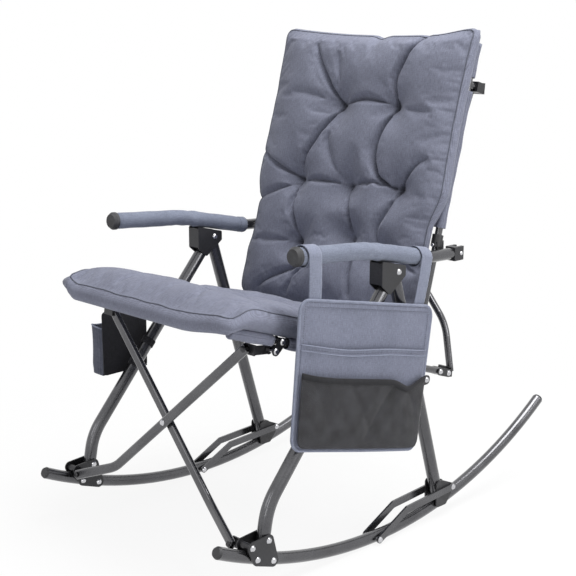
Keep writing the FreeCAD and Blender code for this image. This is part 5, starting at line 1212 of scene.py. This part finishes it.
def make_rivets(side):
    heads = []
    low, high = (np.array(corner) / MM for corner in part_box(side + "_arm_clevis"))
    middle = (low + high) / 2
    y = low[1] + 0.72 * (high[1] - low[1])
    for x, outward in ((high[0], 1), (low[0], -1)):
        heads.append(rivet_head((x, y, middle[2]), (outward, 0, 0), *CLEVIS_HEAD))
    low, high = (np.array(corner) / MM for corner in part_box(side + "_upright_collar"))
    middle = (low + high) / 2
    heads.append(rivet_head((middle[0], low[1], middle[2]), (0, -1, 0.28), *COLLAR_HEAD))
    fit(joined(side + "_arm_rivets", RIVET, *heads), side + "_side", "rivet")


make_rivets("left")
make_rivets("right")


# Floor, light and camera, in metres

FLOOR_HALF = 30
WORLD_STRENGTH = 0.3
# Name, place, target, width, height and power of each lamp
LAMPS = [
    ("key", (0.7, 0.35, 3.2), (0, 0, 0.5), 1.8, 1.8, 106),
    ("right", (3.2, 0.5, 1.9), (0, 0, 0.6), 1.4, 1.4, 31),
    ("front", (-0.6, -3.2, 1.9), (0, 0, 0.55), 1.2, 1.2, 10),
    ("strip_front", (1.4, -3.2, 1.6), (0, 0, 0.4), 0.14, 2.4, 12),
    ("strip_side", (3.4, 1.3, 1.8), (0, 0, 0.4), 0.14, 2.4, 12),
]
CAMERA_PLACE = (1.8757, -1.8383, 1.0997)
CAMERA_AXES = [(0.70101, 0.71315, 0.0), (-0.15716, 0.15449, 0.97541), (0.69562, -0.68377, 0.22038)]
CAMERA_LENS, CAMERA_SENSOR = 75.99, 36.0


def seen_rays(n):
    """1 for rays from the camera, in reflections and through clear pieces."""
    path = n.add("LightPath").outputs
    seen = n.calc("MAXIMUM", path["Is Camera Ray"], path["Is Glossy Ray"])
    return n.calc("MAXIMUM", seen, path["Is Transmission Ray"])


def make_world():
    """World that is white to the camera and in reflections, and lights the chair at a plain level."""
    n = Nodes("studio", bpy.data.worlds)
    n.tree.nodes.clear()
    lit, shown = (n.add("Background", {"Color": WHITE, "Strength": strength}).outputs[0]
                  for strength in (WORLD_STRENGTH, 1.0))
    mix = n.add("MixShader", {"Fac": seen_rays(n), 1: lit, 2: shown})
    n.add("OutputWorld", {"Surface": mix.outputs[0]})
    scene.world = n.block


def make_floor():
    """White floor: near the chair it keeps soft shadows, further off it is as white as the world."""
    n = Nodes("studio_floor")
    away = n.add("VectorMath", {0: n.add("TexCoord").outputs["Object"]}, operation="LENGTH").outputs["Value"]
    share = n.calc("MULTIPLY", seen_rays(n), n.map_range(away, 0.5, 1.3, 0.9, 1.0))
    glow = n.add("Emission", {"Color": WHITE, "Strength": 1.0})
    n.set(Base_Color=(0.92, 0.92, 0.92, 1), Roughness=0.9, Specular_IOR_Level=0.1)
    mix = n.add("MixShader", {"Fac": share, 1: n.shader.outputs[0], 2: glow.outputs[0]})
    n.tree.links.new(mix.outputs[0], n.tree.nodes["Material Output"].inputs["Surface"])
    mesh = bpy.data.meshes.new("studio_floor")
    corners = [(x * FLOOR_HALF, y * FLOOR_HALF, 0) for x, y in ((-1, -1), (1, -1), (1, 1), (-1, 1))]
    mesh.from_pydata(corners, [], [(0, 1, 2, 3)])
    mesh.materials.append(n.block)
    floor = bpy.data.objects.new("studio_floor", mesh)
    scene.collection.objects.link(floor)


def area_light(name, place, target, wide, tall, power):
    lamp = bpy.data.lights.new(name, "AREA")
    lamp.shape = "RECTANGLE"
    lamp.size, lamp.size_y = wide, tall
    lamp.energy = power
    obj = bpy.data.objects.new(name, lamp)
    obj.location = place
    obj.rotation_euler = (Vector(target) - Vector(place)).to_track_quat("-Z", "Y").to_euler()
    scene.collection.objects.link(obj)


make_world()
make_floor()
for lamp_row in LAMPS:
    area_light(*lamp_row)

camera_data = bpy.data.cameras.new("camera")
camera_data.sensor_width = CAMERA_SENSOR
camera_data.lens = CAMERA_LENS
camera = bpy.data.objects.new("camera", camera_data)
camera.matrix_world = Matrix.Translation(CAMERA_PLACE) @ Matrix(CAMERA_AXES).transposed().to_4x4()
scene.collection.objects.link(camera)
scene.camera = camera
scene.view_settings.view_transform = "Standard"
